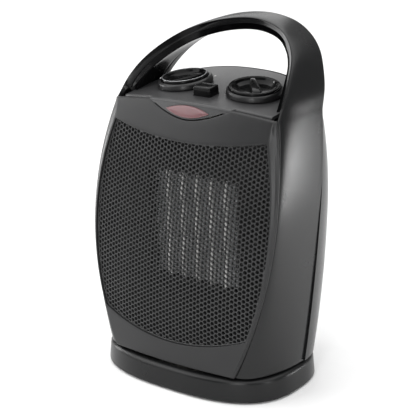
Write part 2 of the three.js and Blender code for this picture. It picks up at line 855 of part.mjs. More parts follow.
const buttonCap = join([
  box(BUTTON_W, BUTTON_D, 9, 0, 0, 2.2),
  rod(2.5, -8, -1, 0, 0, 16),
]);
onPanel(add('swing_button', buttonCap, glossBlack), 0, BUTTON_Y);
const swingSwitch = cut(box(13, 11, 12, 0, 0, -11.5), [rod(2.9, -8 - BUTTON_TRAVEL - 0.6, 0, 0, 0, 16)]);
onPanel(add('swing_switch_body', swingSwitch, whitePlastic), 0, BUTTON_Y);

// ---------- ceramic heating element ----------

const FRAME_RAIL = 2.2;
const elementZ = HEATER_Z;
const elementY = HEATER_Y + HEATER_DEPTH / 2;
add(
  'element_frame',
  cut(box(HEATER_W + 2 * FRAME_RAIL, HEATER_DEPTH + 1, HEATER_H + 2, 0, elementY, elementZ), [
    box(HEATER_W, HEATER_DEPTH + 9, HEATER_H - 4, 0, elementY, elementZ),
  ]),
  darkPlastic,
);

const FIN_COUNT = 6;
const BAR_WIDTH = 2.6;
const FIN_WIDTH = (HEATER_W - (FIN_COUNT - 1) * BAR_WIDTH) / FIN_COUNT - 2 * GAP;
const FIN_PITCH = FIN_WIDTH + BAR_WIDTH + 2 * GAP;

// One folded aluminium strip; its thickness is laid off sideways, because it climbs steadily.
function finStack() {
  const folds = 16;
  const rise = (HEATER_H - 8) / folds;
  const half = 0.8;
  const side = (shift) =>
    range(folds + 1).map((i) => {
      const x = (FIN_WIDTH / 2 - half) * (i % 2 ? 1 : -1) + shift;
      const z = (i - folds / 2) * rise;
      return [v(x, -HEATER_DEPTH / 2, z), v(x, HEATER_DEPTH / 2, z)];
    });
  return thickSheet(side(half), side(-half));
}

for (const i of range(FIN_COUNT)) {
  const x = (i - (FIN_COUNT - 1) / 2) * FIN_PITCH;
  add(`fin_stack_${i + 1}`, finStack().translate(x, elementY, elementZ), aluminium);
  if (i < FIN_COUNT - 1) {
    const bar = box(BAR_WIDTH, HEATER_DEPTH - 1, HEATER_H - 5, x + FIN_PITCH / 2, elementY, elementZ);
    add(`ptc_bar_${i + 1}`, bar, mica);
  }
}

// ---------- air path: duct, fan and motor ----------

const DUCT_W = HEATER_W + 2 * FRAME_RAIL + 2;
const DUCT_H = HEATER_H + 4;
const DUCT_NEAR = -18.5; // where the duct starts to flare towards the grille
const DUCT_FAR = 7;
const DUCT_SKIN = 1.4;

// A square duct round the element that flares forward to the edges of the grille.
function airDuct() {
  const [across, up] = OUTLINE_COUNTS;
  const mouth = frame(bottomEdge, topEdge, OPEN_LOW, OPEN_HIGH, openX, OUTLINE_COUNTS);
  const square = (grow) => {
    const w = DUCT_W / 2 + grow;
    const h = DUCT_H / 2 + grow;
    const line = (x0, z0, x1, z1, n) => range(n).map((i) => [x0 + ((x1 - x0) * i) / n, z0 + ((z1 - z0) * i) / n]);
    return [
      ...line(-w, -h, w, -h, across),
      ...line(w, -h, w, h, up),
      ...line(w, h, -w, h, across),
      ...line(-w, h, -w, -h, up),
    ].map(([x, z]) => [x, z + elementZ]);
  };
  const level = (points, y) => points.map(([x, z]) => v(x, y, z));
  const clearance = GRILLE_BACK + GRILLE_THICK + 0.4;
  const rings = (grow) => [
    level(square(grow), DUCT_FAR),
    level(square(grow), DUCT_NEAR),
    pullIn(mouth, 5 - grow).map((p) => onFront(p, clearance)),
  ];
  return thickSheet(turn(rings(DUCT_SKIN)), turn(rings(0)), true);
}
add('air_duct', airDuct(), mica);

const DUCT_TOP = elementZ + DUCT_H / 2 + DUCT_SKIN;
add('thermal_cutout', rod(8, DUCT_TOP + GAP, DUCT_TOP + 6, 22, -8, 20), steel);
add('thermal_fuse', box(18, 4, 4, -22, -8, DUCT_TOP + 2.4), whitePlastic);

const SHROUD_NEAR = DUCT_FAR + GAP;
const shroudPlate = new THREE.Shape();
shroudPlate.moveTo(-54, -56).lineTo(54, -56).lineTo(54, 56).lineTo(-54, 56).closePath();
shroudPlate.holes.push(circlePath(FAN_R + 2.5));
add(
  'fan_shroud',
  plate(shroudPlate, 0, 2.2).rotateX(Math.PI / 2).translate(0, SHROUD_NEAR + 2.2, FAN_Z),
  darkPlastic,
);

const FAN_NEAR = 12;
const FAN_FAR = 26;
const SHAFT_R = 2.5;

function impeller() {
  const blade = (i) =>
    box(FAN_R - 11, 1.4, 19, 11 + (FAN_R - 11) / 2)
      .rotateX(THREE.MathUtils.degToRad(55))
      .rotateY((2 * Math.PI * i) / 7)
      .translate(0, (FAN_NEAR + FAN_FAR) / 2, FAN_Z);
  const hub = rodY(13, FAN_NEAR, FAN_FAR, 0, FAN_Z, 28);
  return cut(join([hub, ...range(7).map(blade)]), [rodY(SHAFT_R + GAP, 0, 40, 0, FAN_Z, 16)]);
}
add('fan_impeller', impeller(), darkPlastic);
add('rotor_shaft', rodY(SHAFT_R, FAN_NEAR - 1, 57, 0, FAN_Z, 16), steel);

const ROTOR_R = 11;
const CORE_NEAR = 36;
const CORE_FAR = 50;
add(
  'motor_rotor',
  cut(rodY(ROTOR_R, CORE_NEAR - 0.5, CORE_FAR + 0.5, 0, FAN_Z, 24), [
    rodY(SHAFT_R + GAP, 30, 60, 0, FAN_Z, 16),
  ]),
  steel,
);

const COIL_Z = FAN_Z - 24;
function motorCore() {
  const stack = box(46, CORE_FAR - CORE_NEAR, 66, 0, (CORE_NEAR + CORE_FAR) / 2, FAN_Z - 12);
  const bore = rodY(ROTOR_R + 0.6, 30, 60, 0, FAN_Z, 24);
  const windows = [-1, 1].map((side) => box(11, 40, 18, side * 12.5, 43, COIL_Z - 3));
  return cut(stack, [bore, ...windows]);
}
add('motor_core', motorCore(), steel);

function motorCoil() {
  const bobbin = box(22, 26, 16.8, 0, (CORE_NEAR + CORE_FAR) / 2, COIL_Z - 3);
  const centre = box(14.6, CORE_FAR - CORE_NEAR + 0.8, 60, 0, (CORE_NEAR + CORE_FAR) / 2, COIL_Z);
  return cut(bobbin, [centre]);
}
add('motor_coil', motorCoil(), copper);

const BRACKET_Y = 30;
add(
  'motor_bracket_front',
  cut(
    join([
      box(98, 1.6, 14, 0, BRACKET_Y, FAN_Z),
      box(3, 20.2, 14, 47.5, BRACKET_Y - 9.3, FAN_Z),
      box(3, 20.2, 14, -47.5, BRACKET_Y - 9.3, FAN_Z),
    ]),
    [rodY(SHAFT_R + 0.35, 20, 40, 0, FAN_Z, 16)],
  ),
  steel,
);
add(
  'motor_bracket_rear',
  cut(box(50, 1.6, 14, 0, 53, FAN_Z), [rodY(SHAFT_R + 0.35, 40, 60, 0, FAN_Z, 16)]),
  steel,
);

add('terminal_block', box(28, 14, 11, -42, 2, MOTOR_LOW + 5.5), whitePlastic);

// ---------- rear intake grille and screws ----------

function rearSurfaceY(x, z, depth = 0) {
  const a = sideX(z) + REAR_BULGE - depth;
  const b = rearB(z) - depth;
  return b * (1 - (Math.abs(x) / a) ** BASE_POWER) ** (1 / BASE_POWER);
}

function intakeGrille() {
  const w = INTAKE_W / 2 - GAP;
  const low = FAN_Z - INTAKE_H / 2 + GAP;
  const high = FAN_Z + INTAKE_H / 2 - GAP;
  const grid = (depth) =>
    fromTo(-w, w, 6).map((x) => fromTo(low, high, 3).map((z) => v(x, rearSurfaceY(x, z, depth), z)));
  const slots = [];
  for (const i of range(8)) {
    const z = FAN_Z + (i - 3.5) * 10.5;
    for (const side of [-1, 1]) slots.push(box(38, 60, 5.5, side * 21.5, 70, z));
  }
  return cut(thickSheet(grid(0.6), grid(2.8)), slots);
}
add('intake_grille', intakeGrille(), shellPlastic);

rearScrewSpots.forEach(([x, z], i) => {
  const y = rearSurfaceY(x, z) + 1.3;
  add(`rear_screw_${i + 1}`, join([rodY(1.8, y - 14, y + 0.5, x, z, 12), rodY(3.4, y, y + 1.8, x, z, 16)]), steel);
});

// The origin is the centre of the footprint, on the surface the heater stands on.
const bounds = new THREE.Box3().setFromObject(heater);
heater.position.set(0, -(bounds.min.y + bounds.max.y) / 2, -bounds.min.z);

export default heater;
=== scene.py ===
# Oscillating ceramic fan heater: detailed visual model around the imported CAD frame.
# Shape formulas are in millimetres in the drawing frame, whose origin is the swivel axis at
# the floor. place() turns them into metres in the frame that the CAD is packed in.

import json
from math import asin, ceil, cos, pi, radians, sin

import bmesh
import bpy
import numpy as np
from mathutils import Matrix, Vector


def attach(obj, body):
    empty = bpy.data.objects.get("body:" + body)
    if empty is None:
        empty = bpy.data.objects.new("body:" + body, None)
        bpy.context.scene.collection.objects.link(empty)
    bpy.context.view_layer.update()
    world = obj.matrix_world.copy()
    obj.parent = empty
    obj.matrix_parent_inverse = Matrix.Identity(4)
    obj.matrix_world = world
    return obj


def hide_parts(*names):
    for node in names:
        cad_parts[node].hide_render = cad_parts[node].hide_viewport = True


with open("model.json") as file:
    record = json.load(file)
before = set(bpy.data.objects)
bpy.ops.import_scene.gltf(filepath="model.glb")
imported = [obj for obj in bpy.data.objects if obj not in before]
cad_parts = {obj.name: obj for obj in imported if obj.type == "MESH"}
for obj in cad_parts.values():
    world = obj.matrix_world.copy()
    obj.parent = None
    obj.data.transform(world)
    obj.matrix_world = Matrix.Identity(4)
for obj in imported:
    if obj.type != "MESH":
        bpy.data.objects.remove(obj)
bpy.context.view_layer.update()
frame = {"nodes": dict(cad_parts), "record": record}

MM = 0.001
record = frame["record"]
swing = next(j for j in record["behaviour"]["joints"] if j["name"] == "swing")
SHIFT_Y = swing["pos_m"][1]

# ---------- camera ----------

CAMERA_AT = (0.535185, -0.742671, 0.422069)
CAMERA_AZIMUTH = radians(36.19)
CAMERA_ELEVATION = radians(18.19)
CAMERA_ROLL = radians(-0.85)
SENSOR = 36.0
FOCAL_LENGTH = 112.62


def make_camera():
    az, el, roll = CAMERA_AZIMUTH, CAMERA_ELEVATION, CAMERA_ROLL
    right = Vector((cos(az), sin(az), 0))
    forward = Vector((-sin(az) * cos(el), cos(az) * cos(el), -sin(el)))
    up = right.cross(forward)
    camera_x = right * cos(roll) + up * sin(roll)
    camera_y = up * cos(roll) - right * sin(roll)
    turn = Matrix((camera_x, camera_y, -forward)).transposed()
    data = bpy.data.cameras.new("camera")
    data.sensor_width = SENSOR
    data.lens = FOCAL_LENGTH
    data.clip_start = 0.01
    camera = bpy.data.objects.new("camera", data)
    camera.matrix_world = Matrix.Translation(CAMERA_AT) @ turn.to_4x4()
    bpy.context.scene.collection.objects.link(camera)
    bpy.context.scene.camera = camera


make_camera()

# ---------- dimensions shared with the CAD ----------

GAP = 0.3
WALL = 2.4
BASE_A, BASE_B = 80.0, 55.5
BASE_TOP = 18.2
POWER = 2.7
BASE_DRAFT = 1.5
BODY_BOTTOM = 19.8
SIDE_TOP = 202.0
LIP_DEPTH = 2.6
OPEN_TOP, OPEN_BOTTOM = 182.3, 35.8
TONGUE_W = 38.0
TONGUE_BOTTOM = 196.4
LENS_W, LENS_Z, LENS_UP, LENS_DOWN = 18.5, 202.4, 3.7, 4.4
PANEL_Z = 208.4
PANEL_THICK = 2.4
PANEL_SLOPE = 0.08
PANEL_CROWN = 900.0
PANEL_FRONT, PANEL_RISE = -20.0, 0.00055
REAR_BULGE = 1.6
REAR_TOP = 206.0
SHELL_ARCH = 5.0
HANDLE_THICK = 10.0
KNOB_X, KNOB_Y, KNOB_R = 30.5, 15.5, 20.7
BUTTON_W, BUTTON_D, BUTTON_Y = 15.0, 12.0, -1.0
GRILLE_BACK, GRILLE_THICK = 1.7, 1.8
HEATER_W, HEATER_H, HEATER_Z, HEATER_Y, HEATER_DEPTH = 74.0, 86.0, 113.0, -16.0, 15.0
INTAKE_W, INTAKE_H, FAN_Z = 92.0, 92.0, 113.0


def front_y(x, z):
    return -51 + (z - 40) ** 2 / 1000 + x**2 / 780


def lip_x(z):
    return 80.2 - (z - 132) ** 2 / 476


def side_x(z):
    return 82 - (z - 135) ** 2 / np.where(z < 135, 2800, 690)


def seam_y(z):
    return 8 + 14 * ((z - BODY_BOTTOM) / 130) + 6 * ((z - BODY_BOTTOM) / 182) ** 4


def panel_z(x, y):
    climb = y - PANEL_FRONT
    return PANEL_Z + PANEL_SLOPE * climb + PANEL_RISE * climb**2 - x**2 / PANEL_CROWN


def rear_b(z):
    low = np.minimum(z, 150)
    high = np.maximum(z - 150, 0)
    return 73 - 18 * ((150 - low) / 130) ** 2 - high**2 / 900


def open_x(z):
    return lip_x(z) - 2.2 - 4.6 * np.clip((z - 60) / 128, 0, 1) ** 2


def bottom_edge(x):
    return OPEN_BOTTOM + x**2 / 300


def top_edge(x):
    return OPEN_TOP + x**2 / 640


def top_lip_z(x):
    return panel_z(x, front_y(x, PANEL_Z)) - 0.4


def tongue_z(x):
    return TONGUE_BOTTOM + 11.5 * (np.abs(x) / TONGUE_W) ** 1.7


def corner_height(edge, start):
    z = start
    for _ in range(30):
        z = float(edge(open_x(z)))
    return z


OPEN_LOW = corner_height(bottom_edge, 48.0)
OPEN_HIGH = corner_height(top_edge, 190.0)


def super_point(a, b, angle):
    c, s = np.cos(angle), np.sin(angle)
    x = a * np.sign(c) * np.abs(c) ** (2 / POWER)
    y = b * np.sign(s) * np.abs(s) ** (2 / POWER)
    return x, y


# ---------- mesh helpers ----------


def place(points):
    """Drawing-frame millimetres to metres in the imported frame."""
    out = np.asarray(points, float) * MM
    out[..., 1] += SHIFT_Y
    return out


def mesh_object(name, verts, faces, smooth_angle=35):
    data = bpy.data.meshes.new(name)
    data.from_pydata([tuple(p) for p in place(verts)], [], faces)
    work = bmesh.new()
    work.from_mesh(data)
    bmesh.ops.remove_doubles(work, verts=work.verts, dist=2e-6)
    bmesh.ops.dissolve_degenerate(work, edges=work.edges, dist=1e-6)
    bmesh.ops.recalc_face_normals(work, faces=work.faces)
    work.to_mesh(data)
    work.free()
    obj = bpy.data.objects.new(name, data)
    bpy.context.scene.collection.objects.link(obj)
    shade(obj, smooth_angle)
    return obj


def shade(obj, angle):
    obj.data.polygons.foreach_set("use_smooth", [True] * len(obj.data.polygons))
    obj.data.set_sharp_from_angle(angle=radians(angle))


def apply_modifiers(obj, angle=35):
    graph = bpy.context.evaluated_depsgraph_get()
    result = bpy.data.meshes.new_from_object(obj.evaluated_get(graph))
    obj.modifiers.clear()
    obj.data = result
    shade(obj, angle)
    return obj


def bevel(obj, width, segments=3, angle=40):
    modifier = obj.modifiers.new("edges", "BEVEL")
    modifier.width = width * MM
    modifier.segments = segments
    modifier.limit_method = "ANGLE"
    modifier.angle_limit = radians(angle)
    modifier.harden_normals = False
    return apply_modifiers(obj)


def subtract(obj, cutters):
    for cutter in cutters:
        modifier = obj.modifiers.new("opening", "BOOLEAN")
        modifier.operation = "DIFFERENCE"
        modifier.solver = "EXACT"
        modifier.object = cutter
    apply_modifiers(obj)
    for cutter in cutters:
        bpy.data.objects.remove(cutter)
    return obj


def grid_faces(rows, cols, start=0, loop_rows=False, loop_cols=False):
    faces = []
    for i in range(rows if loop_rows else rows - 1):
        for j in range(cols if loop_cols else cols - 1):
            i2, j2 = (i + 1) % rows, (j + 1) % cols
            faces.append(
                (start + i * cols + j, start + i2 * cols + j, start + i2 * cols + j2, start + i * cols + j2)
            )
    return faces


def thick_sheet(name, outer, inner, smooth_angle=35):
    """A closed shell between two equal grids of points, outer[i][j] and inner[i][j]."""
    rows, cols = outer.shape[:2]
    count = rows * cols
    verts = np.concatenate([outer.reshape(-1, 3), inner.reshape(-1, 3)])
    faces = grid_faces(rows, cols)
    faces += [tuple(count + k for k in reversed(face)) for face in faces]
    for i in range(rows - 1):
        for j in (0, cols - 1):
            a, b = i * cols + j, (i + 1) * cols + j
            faces.append((a, b, b + count, a + count))
    for j in range(cols - 1):
        for i in (0, rows - 1):
            a, b = i * cols + j, i * cols + j + 1
            faces.append((a, b, b + count, a + count))
    return mesh_object(name, verts, faces, smooth_angle)


def tube(name, rings, smooth_angle=35):
    """A closed skin through rings of points; the last ring joins the first."""
    rows, cols = rings.shape[:2]
    faces = grid_faces(rows, cols, loop_rows=True, loop_cols=True)
    return mesh_object(name, rings.reshape(-1, 3), faces, smooth_angle)


def inset(grid, depth):
    """Offsets a grid against its own normals, by one depth or by a depth for each point."""
    along = np.gradient(grid, axis=0)
    across = np.gradient(grid, axis=1)
    normal = np.cross(across, along)
    normal /= np.linalg.norm(normal, axis=2, keepdims=True)
    return grid - normal * np.asarray(depth)[..., None]


def revolve(profile, sides=64):
    """Rings of a profile of (radius, height) pairs, which starts and ends on the axis or closes."""
    angles = np.linspace(0, 2 * pi, sides, endpoint=False)
    profile = np.asarray(profile, float)
    rings = np.zeros((len(profile), sides, 3))
    rings[..., 0] = profile[:, None, 0] * np.cos(angles)
    rings[..., 1] = profile[:, None, 0] * np.sin(angles)
    rings[..., 2] = profile[:, None, 1]
    return rings


def lathe(name, profile, sides=64, smooth_angle=35):
    rings = revolve(profile, sides)
    faces = grid_faces(len(profile), sides, loop_cols=True)
    return mesh_object(name, rings.reshape(-1, 3), faces, smooth_angle)


def rounded(corners, radius, steps=5):
    """Rounds the corners between the two ends of an (r, z) polyline with short curves."""
    out = [corners[0]]
    for before, here, after in zip(corners, corners[1:], corners[2:]):
        here = np.array(here, float)
        a = np.array(before, float) - here
        b = np.array(after, float) - here
        reach = min(radius, np.linalg.norm(a) * 0.45, np.linalg.norm(b) * 0.45)
        start = here + a / np.linalg.norm(a) * reach
        end = here + b / np.linalg.norm(b) * reach
        for t in np.linspace(0, 1, steps):
            out.append(tuple((1 - t) ** 2 * start + 2 * t * (1 - t) * here + t**2 * end))
    out.append(corners[-1])
    return out


def block(name, size, at, edge=0.6, segments=3):
    """A box with rounded edges."""
    x, y, z = (s / 2 for s in size)
    verts = [(i * x, j * y, k * z) for i in (-1, 1) for j in (-1, 1) for k in (-1, 1)]
    verts = np.array(verts) + np.array(at)
    faces = [(0, 1, 3, 2), (4, 6, 7, 5), (0, 4, 5, 1), (2, 3, 7, 6), (0, 2, 6, 4), (1, 5, 7, 3)]
    obj = mesh_object(name, verts, faces)
    return bevel(obj, edge, segments) if edge else obj


def on_panel(obj, x, y):
    """Moves a piece modelled along its own +Z onto the crowned panel, in place."""
    slope = PANEL_SLOPE + 2 * PANEL_RISE * (y - PANEL_FRONT)
    normal = Vector((2 * x / PANEL_CROWN, -slope, 1)).normalized()
    turn = Vector((0, 0, 1)).rotation_difference(normal).to_matrix().to_4x4()
    there = Vector(place([x, y, panel_z(x, y)]))
    back = Matrix.Translation(-Vector(place([0, 0, 0])))
    obj.data.transform(Matrix.Translation(there) @ turn @ back)
    return obj


def bridge_rim(obj, angle):
    """Joins the open front edge of a pierced plate to its rear edge."""
    work = bmesh.new()
    work.from_mesh(obj.data)
    bmesh.ops.bridge_loops(work, edges=[e for e in work.edges if e.is_boundary])
    bmesh.ops.recalc_face_normals(work, faces=work.faces)
    work.to_mesh(obj.data)
    work.free()
    shade(obj, angle)


def finish_piece(obj, body, slot_name, material, *nodes):
    """Gives a piece its material, says what it rides on and hides what it replaces; slot_name is not used.
    """
    obj.data.materials.clear()
    obj.data.materials.append(material)
    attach(obj, body)
    if nodes:
        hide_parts(*nodes)
    return obj


# ---------- materials ----------

DRIFT_SCALE, DRIFT_DETAIL = 28, 5
DRIFT_LOW, DRIFT_HIGH = 0.35, 0.65
COAT_ROUGHNESS = 0.08
GRAIN_HEIGHT = 0.00012


def moulded(name, color, roughness, grain=0.0, grain_size=0.35, mottle=0.06, coat=0.0, metallic=0.0,
            rough_swing=0.08, specular=0.5):
    """Moulded plastic or metal: a fine bumped grain, faint colour drift and uneven gloss."""
    material = bpy.data.materials.new(name)
    material.use_nodes = True
    nodes, links = material.node_tree.nodes, material.node_tree.links
    shader = nodes["Principled BSDF"]
    shader.inputs["Metallic"].default_value = metallic
    shader.inputs["Coat Weight"].default_value = coat
    shader.inputs["Coat Roughness"].default_value = COAT_ROUGHNESS
    shader.inputs["Specular IOR Level"].default_value = specular
    where = nodes.new("ShaderNodeTexCoord")

    drift = nodes.new("ShaderNodeTexNoise")
    drift.inputs["Scale"].default_value = DRIFT_SCALE
    drift.inputs["Detail"].default_value = DRIFT_DETAIL
    links.new(where.outputs["Object"], drift.inputs["Vector"])
    ramp = nodes.new("ShaderNodeValToRGB")
    dark = [c * (1 - mottle) for c in color]
    light = [min(c * (1 + mottle), 1) for c in color]
    ramp.color_ramp.elements[0].position = DRIFT_LOW
    ramp.color_ramp.elements[0].color = (*dark, 1)
    ramp.color_ramp.elements[1].position = DRIFT_HIGH
    ramp.color_ramp.elements[1].color = (*light, 1)
    links.new(drift.outputs["Fac"], ramp.inputs["Fac"])
    links.new(ramp.outputs["Color"], shader.inputs["Base Color"])

    uneven = nodes.new("ShaderNodeMapRange")
    uneven.inputs["To Min"].default_value = max(roughness - rough_swing, 0.02)
    uneven.inputs["To Max"].default_value = min(roughness + rough_swing, 1)
    links.new(drift.outputs["Fac"], uneven.inputs["Value"])
    links.new(uneven.outputs["Result"], shader.inputs["Roughness"])

    if grain:
        speckle = nodes.new("ShaderNodeTexNoise")
        speckle.inputs["Scale"].default_value = 1000 / grain_size
        speckle.inputs["Detail"].default_value = 2
        links.new(where.outputs["Object"], speckle.inputs["Vector"])
        bump = nodes.new("ShaderNodeBump")
        bump.inputs["Strength"].default_value = grain
        bump.inputs["Distance"].default_value = GRAIN_HEIGHT
        links.new(speckle.outputs["Fac"], bump.inputs["Height"])
        links.new(bump.outputs["Normal"], shader.inputs["Normal"])
    return material


shell_satin = moulded("shell_satin", (0.016, 0.0162, 0.0168), 0.33, grain=0.3, specular=0.32)
body_satin = moulded("body_satin", (0.0075, 0.0077, 0.008), 0.25, grain=0.25, specular=0.3)
base_satin = moulded("base_satin", (0.006, 0.0062, 0.0065), 0.3, grain=0.25, specular=0.27)
panel_satin = moulded("panel_satin", (0.032, 0.032, 0.033), 0.32, grain=0.4, specular=0.45)
grille_satin = moulded("grille_satin", (0.03, 0.0302, 0.0306), 0.3, grain=0.1, specular=0.4)
gloss_black = moulded("gloss_black", (0.0035, 0.0035, 0.0038), 0.17, mottle=0.1, rough_swing=0.03,
                      specular=0.16)
knob_black = moulded("knob_black", (0.003, 0.003, 0.0032), 0.14, mottle=0.1, rough_swing=0.03,
                     specular=0.15)
knob_skirt = moulded("knob_skirt", (0.010, 0.010, 0.0105), 0.32, grain=0.2, specular=0.4)
dark_inner = moulded("dark_inner", (0.014, 0.014, 0.0145), 0.6, grain=0.5, grain_size=0.6)
rubber = moulded("rubber", (0.012, 0.012, 0.012), 0.85, grain=0.6, grain_size=0.8)
white_nylon = moulded("white_nylon", (0.72, 0.70, 0.64), 0.45, grain=0.2)
steel = moulded("steel", (0.50, 0.51, 0.52), 0.32, grain=0.1, metallic=1.0, rough_swing=0.12)
aluminium = moulded("aluminium", (0.74, 0.75, 0.76), 0.5, grain=0.15, metallic=0.15)
ceramic_bar = moulded("ceramic_bar", (0.86, 0.86, 0.84), 0.5, grain=0.6, grain_size=0.5)
mica = moulded("mica", (0.30, 0.25, 0.18), 0.6, grain=0.4, mottle=0.2)
copper = moulded("copper", (0.60, 0.26, 0.12), 0.35, grain=0.5, grain_size=0.5, metallic=1.0)
funnel_plastic = moulded("funnel_plastic", (0.022, 0.022, 0.0225), 0.5, grain=0.3, specular=0.2)
print_white = moulded("print_white", (0.75, 0.75, 0.73), 0.5, grain=0.1)


def lens_material():
    material = moulded("red_lens", (0.13, 0.055, 0.060), 0.28, mottle=0.05, coat=0.3)
    shader = material.node_tree.nodes["Principled BSDF"]
    shader.inputs["Subsurface Weight"].default_value = 0.1
    shader.inputs["Subsurface Scale"].default_value = 0.004
    return material


red_lens = lens_material()

# ---------- base ----------

BASE_SIDES = 224
BASE_EDGE = 3.6
DECK_HOLE_R, DECK_RING_R, DECK_INSET = 11, 24, 14
CRANK_SLOT, CRANK_SLOT_Y = (6.4, 17, 12), 34.4
INLET_R, INLET_Z = 4.6, 8.6
FOOT_X, FOOT_Y = 52, 34


def base_ring(inset_, z):
    draft = BASE_DRAFT * z / BASE_TOP
    angles = np.linspace(0, 2 * pi, BASE_SIDES, endpoint=False)
    x, y = super_point(BASE_A - draft - inset_, BASE_B - draft - inset_, angles)
    return np.stack([x, y, np.full_like(x, z)], axis=1)


def circle_ring(r, z):
    angles = np.linspace(0, 2 * pi, BASE_SIDES, endpoint=False)
    return np.stack([r * np.cos(angles), r * np.sin(angles), np.full_like(angles, z)], axis=1)


def build_base():
    edge = BASE_EDGE
    outer = [base_ring(0.5, 1.6), base_ring(0.1, 1.9), base_ring(0, 2.4), base_ring(0, 8)]
    outer.append(base_ring(0, BASE_TOP - edge))
    for t in np.linspace(0, 1, 9)[1:]:
        angle = t * pi / 2
        outer.append(base_ring(edge * (1 - cos(angle)), BASE_TOP - edge * (1 - sin(angle))))
    outer.append(base_ring(DECK_INSET, BASE_TOP))
    outer += [circle_ring(r, BASE_TOP) for r in (DECK_RING_R, DECK_HOLE_R)]
    under = BASE_TOP - WALL
    inner = [circle_ring(r, under) for r in (DECK_HOLE_R, DECK_RING_R)]
    inner += [base_ring(DECK_INSET, under), base_ring(5.2, under)]
    inner += [base_ring(WALL + 0.7, under - 1.2), base_ring(WALL, 13), base_ring(WALL, 1.6)]
    base = tube("base_cover", np.array(outer + inner))
    slot = block("slot_cutter", CRANK_SLOT, (0, CRANK_SLOT_Y, BASE_TOP), edge=2.6, segments=5)
    near, far = BASE_B - 9, BASE_B + 5
    inlet = lathe_y("inlet_cutter", [(0, near), (INLET_R, near), (INLET_R, far), (0, far)], 0, INLET_Z)
    subtract(base, [slot, inlet])
    finish_piece(base, "base", "shell_plastic", base_satin, "base_shell")


def lathe_y(name, profile, x, z, sides=40):
    """A revolved piece about an axis along +Y through (x, z)."""
    rings = revolve(profile, sides)
    turned = np.stack([rings[..., 0] + x, rings[..., 2], rings[..., 1] + z], axis=2)
    return mesh_object(name, turned.reshape(-1, 3), grid_faces(len(profile), sides, loop_cols=True))


def build_feet():
    spots = [(x, y) for y in (-FOOT_Y, FOOT_Y) for x in (-FOOT_X, FOOT_X)]
    for i, (x, y) in enumerate(spots):
        profile = [(0, 0.5), (3.6, 0.5), (4.2, 0), (6.4, 0), (7, 0.6), (7, 2), (2.3, 2), (2.3, 6), (0, 6)]
        profile = rounded(profile, 0.4)
        foot = lathe(f"rubber_foot_{i + 1}", profile, 40)
        foot.data.transform(Matrix.Translation((x * MM, y * MM, 0)))
        finish_piece(foot, "base", "rubber", rubber, f"foot_{i + 1}")


build_base()
build_feet()

# ---------- front bezel ----------


def outline(bottom, top, low, high, half_width, across, up):
    """Walks round a four-sided outline: bottom, right, top, left."""
    w_low, w_high = float(half_width(low)), float(half_width(high))
    span = np.linspace(-1, 1, across, endpoint=False)
    rise = np.linspace(0, 1, up, endpoint=False)
    x1 = w_low * span
    z2 = low + (high - low) * rise
    x3 = -w_high * span
    z4 = high - (high - low) * rise
    x = np.concatenate([x1, half_width(z2), x3, -half_width(z4)])
    z = np.concatenate([bottom(x1), z2, top(x3), z4])
    return np.stack([x, z], axis=1)


def shrink(loop, distance):
    """Offsets a closed loop of (x, z) inwards along its own normals, softened at the corners."""
    tangent = np.roll(loop, -1, axis=0) - np.roll(loop, 1, axis=0)
    tangent /= np.linalg.norm(tangent, axis=1, keepdims=True)
    inwards = np.stack([-tangent[:, 1], tangent[:, 0]], axis=1)
    return loop + inwards * distance


def on_front(loop, back=0.0):
    x, z = loop[:, 0], loop[:, 1]
    return np.stack([x, front_y(x, z) + back, z], axis=1)


ACROSS, UP = 220, 150
FACET_DEPTH = 1.5
FACET_START, FACET_END = 0.12, 0.05
BEZEL_CLEAR = 0.2
BEZEL_RADIUS, HOLE_RADIUS = 0.9, 0.5
HOLE_INSET = 0.7


def notched_top(x):
    return np.minimum(top_lip_z(x), tongue_z(x))


def flat_bottom(x):
    return np.full_like(np.asarray(x, float), BODY_BOTTOM)


def build_bezel():
    high = float(top_lip_z(70.0))
    lip = outline(flat_bottom, notched_top, BODY_BOTTOM, high, lip_x, ACROSS, UP)
    hole = outline(bottom_edge, top_edge, OPEN_LOW, OPEN_HIGH, open_x, ACROSS, UP)

    def mix(t):
        return lip + (hole - lip) * t

    # the strips beside the grille fall away towards the sides as a facet
    rise = np.arange(UP) / UP
    ramp = np.clip(np.minimum(rise / FACET_START, (1 - rise) / FACET_END + 0.6), 0, 1)
    facet = FACET_DEPTH * np.concatenate([np.zeros(ACROSS), ramp, np.zeros(ACROSS), ramp[::-1]])
    for _ in range(4):
        facet = (np.roll(facet, 1) + facet + np.roll(facet, -1)) / 3
    radius = BEZEL_RADIUS
    rings = [on_front(shrink(lip, BEZEL_CLEAR), back) for back in (LIP_DEPTH, facet + radius)]
    for t in np.linspace(0, 1, 6)[1:]:
        angle = t * pi / 2
        back = facet * 0.97 + radius * (1 - sin(angle))
        step_in = shrink(lip, BEZEL_CLEAR + radius * (1 - cos(angle)))
        rings.append(on_front(step_in, np.minimum(back, LIP_DEPTH - 0.1)))
    for t in (0.35, 0.5, 0.65, 0.8, 0.88):
        rings.append(on_front(mix(t), facet * max(0, 0.92 - t)))
    for t in np.linspace(0, 1, 5):
        angle = t * pi / 2
        step_in = shrink(hole, HOLE_RADIUS * (sin(angle) - 1) + HOLE_INSET)
        rings.append(on_front(step_in, HOLE_RADIUS * (1 - cos(angle))))
    rings += [on_front(shrink(hole, HOLE_INSET), back) for back in (1.6, LIP_DEPTH)]
    rings += [on_front(mix(0.8), LIP_DEPTH), on_front(mix(0.5), LIP_DEPTH)]
    rings.append(on_front(shrink(lip, 2.0), LIP_DEPTH))
    bezel = tube("bezel", np.array(rings))
    finish_piece(bezel, "housing", "shell_plastic", shell_satin, "front_bezel")


build_bezel()

# ---------- honeycomb grille ----------

